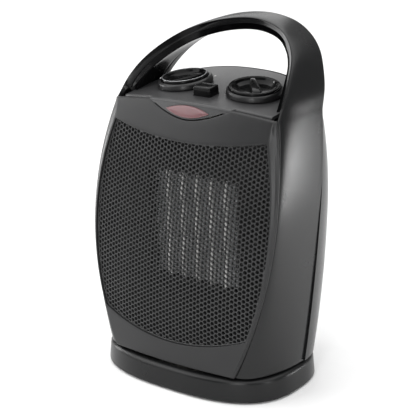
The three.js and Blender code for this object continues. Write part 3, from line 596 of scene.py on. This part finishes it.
CELL_PITCH = 3.46
CELL_WEB = 0.74
CELL_MID = 110
CELL_ROWS, CELLS_HALF_WIDTH = 26, 78
PLATE_INSET = 0.9
EDGE_BAND = 0.75
CHAMFER = 0.22
SMALLEST_CELL, SMALLEST_HOLE = 0.02, 0.12


def clamp_inside(points, margin):
    """Moves points that lie past the grille's outline onto the outline set in by margin."""
    out = points.copy()
    z = np.clip(out[:, 1], bottom_edge(out[:, 0]) + margin, top_edge(out[:, 0]) - margin)
    limit = open_x(z) - margin
    x = np.clip(out[:, 0], -limit, limit)
    z = np.clip(z, bottom_edge(x) + margin, top_edge(x) - margin)
    return np.stack([x, z], axis=1)


def polygon_area(points):
    x, z = points[:, 0], points[:, 1]
    return 0.5 * abs(np.dot(x, np.roll(z, -1)) - np.dot(z, np.roll(x, -1)))


def build_grille():
    column_step = CELL_PITCH * 3**0.5 / 2
    full_r = CELL_PITCH / 3**0.5
    hole_r = (CELL_PITCH - CELL_WEB) / 3**0.5
    angles = np.arange(6) * pi / 3
    hexagon = np.stack([np.cos(angles), np.sin(angles)], axis=1)
    full_area = polygon_area(hexagon * hole_r)
    verts, faces = [], []

    def add(loop, back):
        start = len(verts)
        verts.extend(on_front(loop, back))
        return [start + k for k in range(6)]

    columns = ceil(CELLS_HALF_WIDTH / column_step)
    for column in range(-columns, columns + 1):
        x = column * column_step
        shift = CELL_PITCH / 2 if column % 2 else 0.0
        for row in range(-CELL_ROWS, CELL_ROWS + 1):
            centre = np.array([x, CELL_MID + row * CELL_PITCH + shift])
            inside = clamp_inside(centre[None], 0.0)[0]
            if np.linalg.norm(inside - centre) > full_r:
                continue
            outer = clamp_inside(centre + hexagon * full_r, PLATE_INSET)
            if polygon_area(outer) < SMALLEST_CELL:
                continue
            hole = clamp_inside(centre + hexagon * hole_r, PLATE_INSET + EDGE_BAND)
            lip = clamp_inside(centre + hexagon * (hole_r + CHAMFER), PLATE_INSET + EDGE_BAND - CHAMFER)
            front = add(outer, GRILLE_BACK)
            rear = add(outer, GRILLE_BACK + GRILLE_THICK)
            if polygon_area(hole) < SMALLEST_HOLE * full_area:
                faces.append(tuple(front))
                faces.append(tuple(reversed(rear)))
                continue
            rim = add(lip, GRILLE_BACK)
            edge = add(hole, GRILLE_BACK + CHAMFER)
            far = add(hole, GRILLE_BACK + GRILLE_THICK)
            for k in range(6):
                n = (k + 1) % 6
                faces.append((front[k], front[n], rim[n], rim[k]))
                faces.append((rim[k], rim[n], edge[n], edge[k]))
                faces.append((edge[k], edge[n], far[n], far[k]))
                faces.append((far[k], far[n], rear[n], rear[k]))
    grille = mesh_object("honeycomb_grille", verts, faces, 30)
    bridge_rim(grille, 30)
    finish_piece(grille, "housing", "dark_plastic", grille_satin, "front_grille")


build_grille()

# ---------- side panels and handle ----------


def catmull_rom(points, t):
    """Point of a centripetal Catmull-Rom curve through the points, at share t of its spans."""
    points = np.asarray(points, float)
    spans = len(points) - 1
    i = min(int(t * spans), spans - 1)
    w = t * spans - i
    p1, p2 = points[i], points[i + 1]
    p0 = points[i - 1] if i > 0 else 2 * points[0] - points[1]
    p3 = points[i + 2] if i + 2 <= spans else 2 * points[-1] - points[-2]
    d0, d1, d2 = (float(np.sum((b - a) ** 2)) ** 0.25 for a, b in ((p0, p1), (p1, p2), (p2, p3)))
    t1 = ((p1 - p0) / d0 - (p2 - p0) / (d0 + d1) + (p2 - p1) / d1) * d1
    t2 = ((p2 - p1) / d1 - (p3 - p1) / (d1 + d2) + (p3 - p2) / d2) * d1
    c2 = -3 * p1 + 3 * p2 - 2 * t1 - t2
    c3 = 2 * p1 - 2 * p2 + t1 + t2
    return p1 + t1 * w + c2 * w**2 + c3 * w**3


def mirrored(half):
    return half + [(-x, y, z) for x, y, z in reversed(half[:-1])]


TOP_LIP = lip_x(SIDE_TOP)
front_rail = mirrored([
    (TOP_LIP - 0.2, front_y(TOP_LIP, SIDE_TOP) + LIP_DEPTH + GAP, SIDE_TOP),
    (67.6, -3, 217), (62.9, 9.5, 228.5), (54, 25.7, 239.6),
    (42, 38.6, 247.6), (24, 51, 253.2), (0, 57, 255.6),
])
rear_rail = mirrored([
    (float(side_x(SIDE_TOP)), seam_y(SIDE_TOP), SIDE_TOP),
    (72.6, 41, 215), (67, 48.5, 227), (58.8, 57, 238),
    (47, 64.5, 247), (27, 73, 254.4), (0, 77, 257.4),
])

SIDE_ROWS, ARCH_ROWS, COLS = 60, 160, 26
THICKEN_SPAN = 0.07
COVER_SHARE, COVER_START, COVER_WRAP = 0.84, 0.04, 0.1


def side_row(front, rear, start=0.0, end=1.0, count=None):
    angle = np.linspace(start, end, count or COLS) * pi / 2
    s, c = np.sin(angle), np.cos(angle)
    x = front[0] + (rear[0] - front[0]) * s
    y = rear[1] + (front[1] - rear[1]) * c
    z = front[2] + (rear[2] - front[2]) * s
    return np.stack([x, y, z], axis=1)


def panel_row(z, sign):
    x = lip_x(z) - 0.2
    front = (sign * x, front_y(x, z) + LIP_DEPTH + GAP, z)
    return side_row(front, (sign * float(side_x(z)), seam_y(z), z))


def arch_row(t, start=0.0, end=1.0, count=None):
    return side_row(catmull_rom(front_rail, t), catmull_rom(rear_rail, t), start, end, count)


def build_handle():
    heights = np.linspace(BODY_BOTTOM, SIDE_TOP, SIDE_ROWS, endpoint=False)
    spans = np.linspace(0, 1, ARCH_ROWS)
    covered = np.clip((np.minimum(spans, 1 - spans) - COVER_START) / 0.012, 0, 1)
    rows = [panel_row(z, 1) for z in heights]
    rows += [arch_row(t, COVER_WRAP * c) for t, c in zip(spans, covered)]
    rows += [panel_row(z, -1) for z in heights[::-1]]
    outer = np.array(rows)
    pad = np.zeros(SIDE_ROWS)
    in_cover = np.concatenate([pad, covered, pad])[:, None]
    thick = np.clip(np.minimum(spans, 1 - spans) / THICKEN_SPAN, 0, 1)
    thick = np.concatenate([pad, thick * thick * (3 - 2 * thick), pad])[:, None]
    share = np.linspace(0, 1, COLS)[None, :]
    shell_depth = WALL + (SHELL_ARCH - WALL) * thick
    # behind the cover's rear edge the shell is as thick as shell and cover together
    behind = np.clip((share - COVER_SHARE) / 0.03, 0, 1)
    depth = shell_depth + (HANDLE_THICK - 0.6 - SHELL_ARCH) * in_cover * behind
    shell = thick_sheet("handle_shell", outer, inset(outer, depth), 50)
    bevel(shell, 0.6, 3, 55)
    finish_piece(shell, "housing", "shell_plastic", body_satin, "handle_frame")

    # the gloss cover lines the arch and wraps round its front edge to the outer face
    front_count, inner_count = 6, 24
    cover_spans = spans[(spans >= COVER_START) & (spans <= 1 - COVER_START)]
    skin = np.array([arch_row(t, 0, COVER_SHARE, inner_count) for t in cover_spans])
    lined = inset(skin, np.full(skin.shape[:2], SHELL_ARCH + GAP))
    inside = inset(skin, np.full(skin.shape[:2], HANDLE_THICK))
    wrap = np.array([arch_row(t, 0, COVER_WRAP - 0.012, front_count) for t in cover_spans])
    loops = np.concatenate([wrap[:, ::-1], inside, lined[:, :2:-1]], axis=1)
    count, around = loops.shape[:2]
    faces = grid_faces(count, around, loop_cols=True)
    faces += [tuple(range(around)), tuple(range(count * around - 1, (count - 1) * around - 1, -1))]
    cover = mesh_object("handle_cover", loops.reshape(-1, 3), faces, 50)
    bevel(cover, 0.9, 4, 50)
    finish_piece(cover, "housing", "gloss_black", gloss_black, "handle_inner_cover")


build_handle()

# ---------- rear housing, intake grille ----------

REAR_COLS = 150
ROLL_LOW = 190.0
SCREW_X, SCREW_Z = (-30, 30), (50, 176)
SLOT_COLUMNS, SLOT_ROWS = 3, 14
SLOT_PITCH, SLOT_W, SLOT_H = 28.6, 24.6, 3.7
SLOT_CORNERS = 8
SLOT_DEPTHS = (0.6, 1.0, 2.8)


def rear_row(z, depth):
    a = float(side_x(z)) + REAR_BULGE - depth
    b = float(rear_b(z)) - depth
    start = asin(min(((seam_y(z) + GAP) / b) ** (POWER / 2), 1))
    x, y = super_point(a, b, np.linspace(start, pi - start, REAR_COLS))
    return np.stack([x, y, np.full_like(x, z)], axis=1)


def roll_row(share, depth, sink):
    row = rear_row(ROLL_LOW + (REAR_TOP - ROLL_LOW) * share, depth)
    top = panel_z(row[:, 0], row[:, 1]) - 0.6
    row[:, 2] = ROLL_LOW + (top - ROLL_LOW) * share - sink
    return row


def rear_surface_y(x, z, depth=0.0):
    a = side_x(z) + REAR_BULGE - depth
    b = rear_b(z) - depth
    return b * (1 - (np.abs(x) / a) ** POWER) ** (1 / POWER)


def build_rear():
    heights = np.linspace(BODY_BOTTOM, ROLL_LOW, 58)
    outer = [rear_row(z, 0) for z in heights]
    inner = [rear_row(z, WALL) for z in heights]
    shares = np.linspace(0, 1, 13)[1:]
    depths = np.interp(shares, [0, 0.2, 0.45, 0.65, 0.82, 0.93, 1], [0, 0.35, 1.4, 2.7, 4.4, 6.4, 9])
    for share, depth in zip(shares, depths):
        outer.append(roll_row(share, depth, 0))
        inner.append(roll_row(share, depth + WALL * 0.8, WALL * 0.6 * share))
    rear = thick_sheet("rear_cover", np.array(outer), np.array(inner), 45)
    cutters = [block("intake_cutter", (INTAKE_W, 40, INTAKE_H), (0, 74, FAN_Z), edge=0)]
    for x in SCREW_X:
        for z in SCREW_Z:
            cutters.append(lathe_y("screw_cutter", [(0, 40), (2.2, 40), (2.2, 90), (0, 90)], x, z, 24))
    subtract(rear, cutters)
    finish_piece(rear, "housing", "shell_plastic", body_satin, "rear_housing")


def build_intake():
    """A plate with three columns of stadium-shaped slots that follows the rear surface."""
    half = INTAKE_W / 2 - GAP
    low, high = FAN_Z - INTAKE_H / 2 + GAP, FAN_Z + INTAKE_H / 2 - GAP
    pitch_z = (high - low - 5) / SLOT_ROWS
    verts, faces = [], []

    def add(points, depth):
        start = len(verts)
        for x, z in points:
            verts.append((x, float(rear_surface_y(x, z, depth)), z))
        return [start + k for k in range(len(points))]

    def stadium(cx, cz, w, h):
        points = []
        for side in (1, -1):
            for k in range(SLOT_CORNERS + 1):
                angle = pi * k / SLOT_CORNERS - side * pi / 2
                points.append((cx + side * (w - h) / 2 + cos(angle) * h / 2, cz + sin(angle) * h / 2))
        return points

    edge_x = [-half] + [SLOT_PITCH * (c - SLOT_COLUMNS / 2) for c in range(1, SLOT_COLUMNS)] + [half]
    edge_z = [low] + [FAN_Z + pitch_z * (r - SLOT_ROWS / 2) for r in range(1, SLOT_ROWS)] + [high]
    for c in range(SLOT_COLUMNS):
        for r in range(SLOT_ROWS):
            x0, x1, z0, z1 = edge_x[c], edge_x[c + 1], edge_z[r], edge_z[r + 1]
            cx = SLOT_PITCH * (c - (SLOT_COLUMNS - 1) / 2)
            cz = FAN_Z + pitch_z * (r - (SLOT_ROWS - 1) / 2)
            hole = stadium(cx, cz, SLOT_W, SLOT_H)
            wide = stadium(cx, cz, SLOT_W + 0.8, SLOT_H + 0.8)
            around = []
            for k in range(len(hole)):
                t = (k % (SLOT_CORNERS + 1)) / SLOT_CORNERS
                if k <= SLOT_CORNERS:
                    around.append((x1, z0 + (z1 - z0) * t))
                else:
                    around.append((x0, z1 + (z0 - z1) * t))
            front, edge, back = SLOT_DEPTHS
            loops = [add(around, front), add(wide, front)]
            loops += [add(hole, edge), add(hole, back), add(around, back)]
            n = len(hole)
            for a, b in zip(loops, loops[1:]):
                for k in range(n):
                    m = (k + 1) % n
                    faces.append((a[k], a[m], b[m], b[k]))
    plate = mesh_object("intake_plate", verts, faces, 40)
    bridge_rim(plate, 40)
    finish_piece(plate, "housing", "shell_plastic", dark_inner, "intake_grille")


def build_screws():
    for i, (x, z) in enumerate([(x, z) for z in SCREW_Z for x in SCREW_X]):
        y = float(rear_surface_y(x, z)) + 1.3
        profile = [(0, y - 14), (0.8, y - 14), (1.8, y - 12), (1.8, y), (3.4, y), (3.4, y + 0.8)]
        profile += [(3.1, y + 1.35), (2.4, y + 1.7), (1.2, y + 1.8), (0, y + 1.8)]
        screw = lathe_y(f"case_screw_{i + 1}", profile, x, z, 40)
        cross = [
            block("cross_cutter", (4.2, 2.4, 0.8), (x, y + 1.9, z), edge=0),
            block("cross_cutter", (0.8, 2.4, 4.2), (x, y + 1.9, z), edge=0),
        ]
        subtract(screw, cross)
        finish_piece(screw, "housing", "steel", steel, f"rear_screw_{i + 1}")


build_rear()
build_intake()
build_screws()

# ---------- control panel, tongue and pilot light ----------


def panel_front_edge(x):
    blend = np.clip((np.abs(x) - 35.2) / 1.6, 0, 1)
    blend = blend * blend * (3 - 2 * blend)
    return front_y(x, PANEL_Z) - 0.2 + 3.7 * blend


def panel_rear_edge(x):
    return 57.8 * (1 - (np.abs(x) / 64.4) ** POWER) ** (1 / POWER)


def build_panel():
    xs = np.concatenate([
        np.linspace(-64, -37.2, 40, endpoint=False),
        np.linspace(-37.2, 37.2, 150, endpoint=False),
        np.linspace(37.2, 64, 41),
    ])
    grids = []
    for drop, roll in ((0.0, 1.6), (PANEL_THICK, 0.25)):
        columns = []
        for x in xs:
            front, rear = float(panel_front_edge(x)) + drop, float(panel_rear_edge(x))
            bend = front + roll
            top_ys = rear + (bend - rear) * np.linspace(0, 1, 60)
            column = [(x, y, float(panel_z(x, y)) - drop) for y in top_ys]
            top = float(panel_z(x, bend)) - drop
            for t in np.linspace(0, 1, 7)[1:]:
                angle = t * pi / 2
                column.append((x, bend - roll * sin(angle), top - roll * (1 - cos(angle))))
            start = top - roll
            edge = float(panel_z(x, panel_front_edge(x)))
            low = min(float(tongue_z(x)) + 2 * GAP, edge - PANEL_THICK - 0.6)
            for t in np.linspace(0, 1, 15)[1:]:
                z = start + (low - start) * t
                lean = float(front_y(x, z) - front_y(x, start))
                column.append((x, front + lean, z))
            columns.append(column)
        grids.append(np.array(columns))
    panel = thick_sheet("control_deck", grids[0], grids[1], 40)
    cutters = []
    for side in (-1, 1):
        hole = lathe("spindle_cutter", [(0, -20), (4.4, -20), (4.4, 20), (0, 20)], 40)
        cutters.append(on_panel(hole, side * KNOB_X, KNOB_Y))
    size = (BUTTON_W + 0.7, BUTTON_D + 0.7, 40)
    cutters.append(block("button_cutter", size, (0, BUTTON_Y, PANEL_Z), edge=1.6, segments=5))
    cutters.append(eye("eye_cutter", GAP, -60, -21.6))
    subtract(panel, cutters)
    finish_piece(panel, "housing", "shell_plastic", panel_satin, "control_panel")


def eye_loop(grow, steps=24):
    t = np.linspace(1, -1, steps)
    upper = np.stack([(LENS_W + grow) * t, LENS_Z + (LENS_UP + grow) * (1 - t * t)], axis=1)
    lower = np.stack([-(LENS_W + grow) * t, LENS_Z - (LENS_DOWN + grow) * (1 - t * t)], axis=1)
    return np.concatenate([upper[:-1], lower[:-1]])


def eye(name, grow, near, far):
    """A straight prism with the lens outline, from y = near to y = far."""
    loop = eye_loop(grow)
    n = len(loop)
    verts = [(x, near, z) for x, z in loop] + [(x, far, z) for x, z in loop]
    faces = [tuple(range(n)), tuple(range(2 * n - 1, n - 1, -1))]
    faces += [(k, (k + 1) % n, n + (k + 1) % n, n + k) for k in range(n)]
    return mesh_object(name, verts, faces)


def build_lens():
    """An eye-shaped lens with a soft crown, standing a little proud of the tongue."""
    loop = eye_loop(0.0, 32)
    centre = np.array([0, LENS_Z - 0.3])
    crown = [
        (1, 1.9), (1, -0.1), (0.97, -0.3), (0.85, -0.5),
        (0.6, -0.75), (0.3, -0.85), (0.02, -0.88), (0.02, 1.9),
    ]
    rings = [on_front(centre + (loop - centre) * share, back) for share, back in crown]
    lens = tube("signal_lens", np.array(rings), 40)
    finish_piece(lens, "housing", "red_lens", red_lens, "pilot_lens")


def build_marks():
    """Small printed dots in an arc behind and beside each knob."""
    reach = KNOB_R + 3.4
    spots = [(side, radians(turn)) for side in (-1, 1) for turn in (60, 90, 120, 150)]
    profile = rounded([(0, -0.1), (0.75, -0.1), (0.75, 0.07), (0, 0.07)], 0.03, 3)
    for i, (side, angle) in enumerate(spots):
        x = side * (KNOB_X - reach * cos(angle))
        y = KNOB_Y + reach * sin(angle) * 0.98
        mark = on_panel(lathe(f"scale_mark_{i + 1}", profile, 20), x, y)
        finish_piece(mark, "housing", "white_plastic", print_white)


build_panel()
build_lens()
build_marks()

# ---------- knobs and button ----------


def grip_bar(name, length, width, low, high, taper):
    """A grip bar that narrows towards its back, with a crowned top and rounded ends."""
    stations = np.linspace(-1, 1, 33)
    section = np.linspace(0, pi, 15)
    rows = []
    for s in stations:
        end = (1 - abs(s) ** 6) ** 0.5 if abs(s) < 1 else 0.0
        half = width / 2 * (1 - taper * (s + 1) / 2) * (0.25 + 0.75 * end)
        top = low + (high - low) * (0.45 + 0.55 * end)
        y = s * length / 2
        arc_x = half * np.sign(np.cos(section)) * np.abs(np.cos(section)) ** 0.45
        arc_z = low + (top - low) * np.sin(section) ** 0.45
        row = [(half, y, low - 0.6)] + [(x, y, z) for x, z in zip(arc_x, arc_z)] + [(-half, y, low - 0.6)]
        rows.append(row)
    rows = np.array(rows)
    count = rows.shape[1]
    faces = grid_faces(len(rows), count, loop_cols=True)
    faces += [tuple(range(count)), tuple(range(len(rows) * count - 1, (len(rows) - 1) * count - 1, -1))]
    return mesh_object(name, rows.reshape(-1, 3), faces, 50)


def build_knob(name, side, body, turn, neck, grip_top):
    """A flared skirt and a polished cap: a ring round a deep dish with a grip bar across it."""
    skirt = rounded([
        (neck - 3.0, 3.0), (17.4, 3.0), (18.4, 0.6), (KNOB_R, 0.6), (KNOB_R - 0.4, 3.6), (KNOB_R - 1.1, 4.6),
        (neck + 0.4, 5.0), (neck + 0.2, 4.2), (neck - 3.0, 4.2), (neck - 3.0, 3.0),
    ], 0.5, 4)
    part = lathe(f"{name}_skirt", skirt, 112, 40)
    on_panel(part, side * KNOB_X, KNOB_Y)
    finish_piece(part, body, "dark_plastic", knob_skirt)

    cap = rounded([
        (0, 1.6), (neck - 4.5, 1.6), (neck - 0.9, 4.4), (neck, 4.5), (neck, 6.3), (neck - 0.5, 6.8),
        (neck - 1.3, 6.8), (neck - 1.7, 6.4), (neck - 2.1, 6.7), (neck - 2.5, 6.3), (neck - 3.4, 4.6),
        (neck - 6.0, 3.2), (6, 2.7), (0, 2.6),
    ], 0.35, 4)
    ring = lathe(f"{name}_cap", cap, 144, 40)
    grip = grip_bar("grip", 2 * (neck - 2.6), 8.6, 3.0, grip_top, 0.48)
    merge(ring, grip)
    pivot = Matrix.Translation((0, SHIFT_Y, 0))
    ring.data.transform(pivot @ Matrix.Rotation(turn, 4, "Z") @ pivot.inverted())
    on_panel(ring, side * KNOB_X, KNOB_Y)
    finish_piece(ring, body, "gloss_black", knob_black, f"{name}_knob")


def build_rim_highlight_ring(name, side, body, neck):
    """A slim steel ring on top of a knob's rim that stands in for the bright edge highlight along the rim: a
    painted highlight.
    """
    low, high = 6.7, 7.0
    near, far = neck - 1.35, neck - 0.55
    profile = rounded([(near, low), (far, low), (far, high), (near, high), (near, low)], 0.12, 4)
    rim_highlight = lathe(f"{name}_trim", profile, 144, 50)
    on_panel(rim_highlight, side * KNOB_X, KNOB_Y)
    finish_piece(rim_highlight, body, "steel", steel)


def merge(obj, other):
    """Joins other into obj as one mesh."""
    work = bmesh.new()
    work.from_mesh(obj.data)
    work.from_mesh(other.data)
    work.to_mesh(obj.data)
    work.free()
    bpy.data.objects.remove(other)
    shade(obj, 40)


def build_button():
    cap = block("button_cap", (BUTTON_W, BUTTON_D, 9), (0, 0, 2.2), edge=1.5, segments=5)
    # the top is dished a little along its length
    for vertex in cap.data.vertices:
        if vertex.co.z > 6.2 * MM:
            across = vertex.co.x / (BUTTON_W / 2 * MM)
            vertex.co.z -= 0.5 * MM * (1 - across * across)
    stem = lathe("button_stem", [(0, -8), (2.5, -8), (2.5, -1), (0, -1)], 32)
    merge(cap, stem)
    on_panel(cap, 0, BUTTON_Y)
    finish_piece(cap, "swing_button", "gloss_black", knob_black, "swing_button")


build_knob("thermostat", -1, "thermostat_control", radians(-33), 17.4, 5.4)
build_knob("selector", 1, "selector_control", radians(40), 18.6, 7.4)
# the steel ring on the thermostat knob is a painted highlight along its rim, not a known part
build_rim_highlight_ring("thermostat", -1, "thermostat_control", 17.4)
build_button()

# ---------- heating element ----------

FIN_COUNT = 6
BAR_WIDTH = 2.6
FIN_WIDTH = (HEATER_W - (FIN_COUNT - 1) * BAR_WIDTH) / FIN_COUNT - 2 * GAP
FIN_PITCH = FIN_WIDTH + BAR_WIDTH + 2 * GAP
ELEMENT_Y = HEATER_Y + HEATER_DEPTH / 2


def build_element():
    folds = 46
    rise = (HEATER_H - 8) / folds
    sheet = 0.16
    for i in range(FIN_COUNT):
        x0 = (i - (FIN_COUNT - 1) / 2) * FIN_PITCH
        grids = []
        for shift in (sheet, -sheet):
            rows = []
            for k in range(folds + 1):
                x = x0 + (FIN_WIDTH / 2 - sheet) * (1 if k % 2 else -1) + shift
                z = HEATER_Z + (k - folds / 2) * rise
                y = np.linspace(-HEATER_DEPTH / 2, HEATER_DEPTH / 2, 4) + ELEMENT_Y
                rows.append([(x, yy, z) for yy in y])
            grids.append(np.array(rows))
        fins = thick_sheet(f"folded_fins_{i + 1}", grids[0], grids[1], 20)
        finish_piece(fins, "housing", "aluminium", aluminium, f"fin_stack_{i + 1}")
        if i < FIN_COUNT - 1:
            size = (BAR_WIDTH, HEATER_DEPTH - 1, HEATER_H - 5)
            bar = block(f"ceramic_bar_{i + 1}", size, (x0 + FIN_PITCH / 2, ELEMENT_Y, HEATER_Z), edge=0.4)
            finish_piece(bar, "housing", "mica", ceramic_bar, f"ptc_bar_{i + 1}")


build_element()

DUCT_W, DUCT_H = HEATER_W + 2 * 2.2 + 2, HEATER_H + 4
DUCT_NEAR, DUCT_FAR = -18.5, 7.0
DUCT_SKIN = 1.2
DUCT_SIDE = 40


def build_duct():
    """A square duct round the element that flares forward to the edges of the grille."""
    mouth = outline(bottom_edge, top_edge, OPEN_LOW, OPEN_HIGH, open_x, DUCT_SIDE, DUCT_SIDE)
    corners = [(-1, -1), (1, -1), (1, 1), (-1, 1)]
    square = []
    for k in range(4):
        (x0, z0), (x1, z1) = corners[k], corners[(k + 1) % 4]
        for t in np.linspace(0, 1, DUCT_SIDE, endpoint=False):
            x, z = x0 + (x1 - x0) * t, z0 + (z1 - z0) * t
            square.append((x * DUCT_W / 2, z * DUCT_H / 2 + HEATER_Z))
    square = np.array(square)

    def level(loop, y):
        return np.stack([loop[:, 0], np.full(len(loop), y), loop[:, 1]], axis=1)

    def skin(extra):
        wide = square + np.sign(square - [0, HEATER_Z]) * extra
        front = on_front(shrink(mouth, 3.2 - extra), GRILLE_BACK + GRILLE_THICK + 0.5)
        throat = level(wide, DUCT_NEAR)
        rings = [level(wide, DUCT_FAR), level(wide, DUCT_FAR / 2 + DUCT_NEAR / 2)]
        rings += [throat + (front - throat) * t for t in np.linspace(0, 1, 9)]
        return rings

    duct = tube("air_funnel", np.array(skin(0) + skin(DUCT_SKIN)[::-1]), 30)
    finish_piece(duct, "housing", "mica", funnel_plastic, "air_duct")


build_duct()

# ---------- carried-over CAD nodes ----------

kept_materials = {
    "dark_plastic": dark_inner,
    "shell_plastic": body_satin,
    "gloss_black": gloss_black,
    "rubber": rubber,
    "white_plastic": white_nylon,
    "red_lens": red_lens,
    "steel": steel,
    "aluminium": aluminium,
    "copper": copper,
    "mica": mica,
}


def dress_kept_nodes():
    for part in record["subparts"]:
        for slot_ in frame["nodes"][part["node"]].material_slots:
            slot_.material = kept_materials[part["material_slot"]]


dress_kept_nodes()

# ---------- floor and light ----------


FLOOR_HALF, FLOOR_STEPS = 6.0, 24
WORLD_STRENGTH = 0.22
SKY_ENERGY, SKY_ANGLE = 3.15, radians(100)
SKY_AIM = (0.03, 0.05, -0.99)
LAMP_AIM = (0, 0, 0.12)
LAMPS = [
    ("key", (-1.2, -1.1, 0.95), (1.3, 1.3), 12.0),
    ("side_strip", (0.53, 0.44, 0.11), (0.11, 0.22), 1.1),
    ("bezel_strip", (0.27, -0.6, 0.28), (0.08, 0.45), 1.3),
    ("left_strip", (-0.75, -0.13, 0.25), (0.12, 0.5), 2.2),
    ("front_strip", (1.1, -0.2, 0.35), (0.15, 0.7), 2.5),
    ("back_rim", (-0.9, 1.0, 0.9), (0.8, 0.8), 2.6),
]


def build_studio():
    floor_material = moulded("floor_paint", (0.86, 0.86, 0.86), 0.7, mottle=0.01)
    axis = np.linspace(-FLOOR_HALF, FLOOR_HALF, FLOOR_STEPS)
    verts = [(x, y, 0) for x in axis for y in axis]
    data = bpy.data.meshes.new("floor")
    data.from_pydata(verts, [], grid_faces(FLOOR_STEPS, FLOOR_STEPS))
    floor = bpy.data.objects.new("floor", data)
    bpy.context.scene.collection.objects.link(floor)
    data.materials.append(floor_material)

    world = bpy.data.worlds.new("studio")
    world.use_nodes = True
    background = world.node_tree.nodes["Background"]
    background.inputs["Color"].default_value = (1, 1, 1, 1)
    background.inputs["Strength"].default_value = WORLD_STRENGTH
    bpy.context.scene.world = world

    sun = bpy.data.lights.new("sky_panel", "SUN")
    sun.angle = SKY_ANGLE
    sun.energy = SKY_ENERGY
    lamp = bpy.data.objects.new("sky_panel", sun)
    lamp.rotation_euler = Vector(SKY_AIM).to_track_quat("-Z", "Y").to_euler()
    bpy.context.scene.collection.objects.link(lamp)

    for name, at, (wide, tall), power in LAMPS:
        light = bpy.data.lights.new(name, "AREA")
        light.shape = "RECTANGLE"
        light.size = wide
        light.size_y = tall
        light.energy = power
        lamp = bpy.data.objects.new(name, light)
        lamp.location = at
        lamp.visible_camera = False
        aim = Vector(LAMP_AIM) - Vector(at)
        lamp.rotation_euler = aim.to_track_quat("-Z", "Y").to_euler()
        bpy.context.scene.collection.objects.link(lamp)
    view = bpy.context.scene.view_settings
    view.view_transform = "Standard"
    view.look = "None"


build_studio()

# ---------- close ----------

bpy.context.view_layer.update()
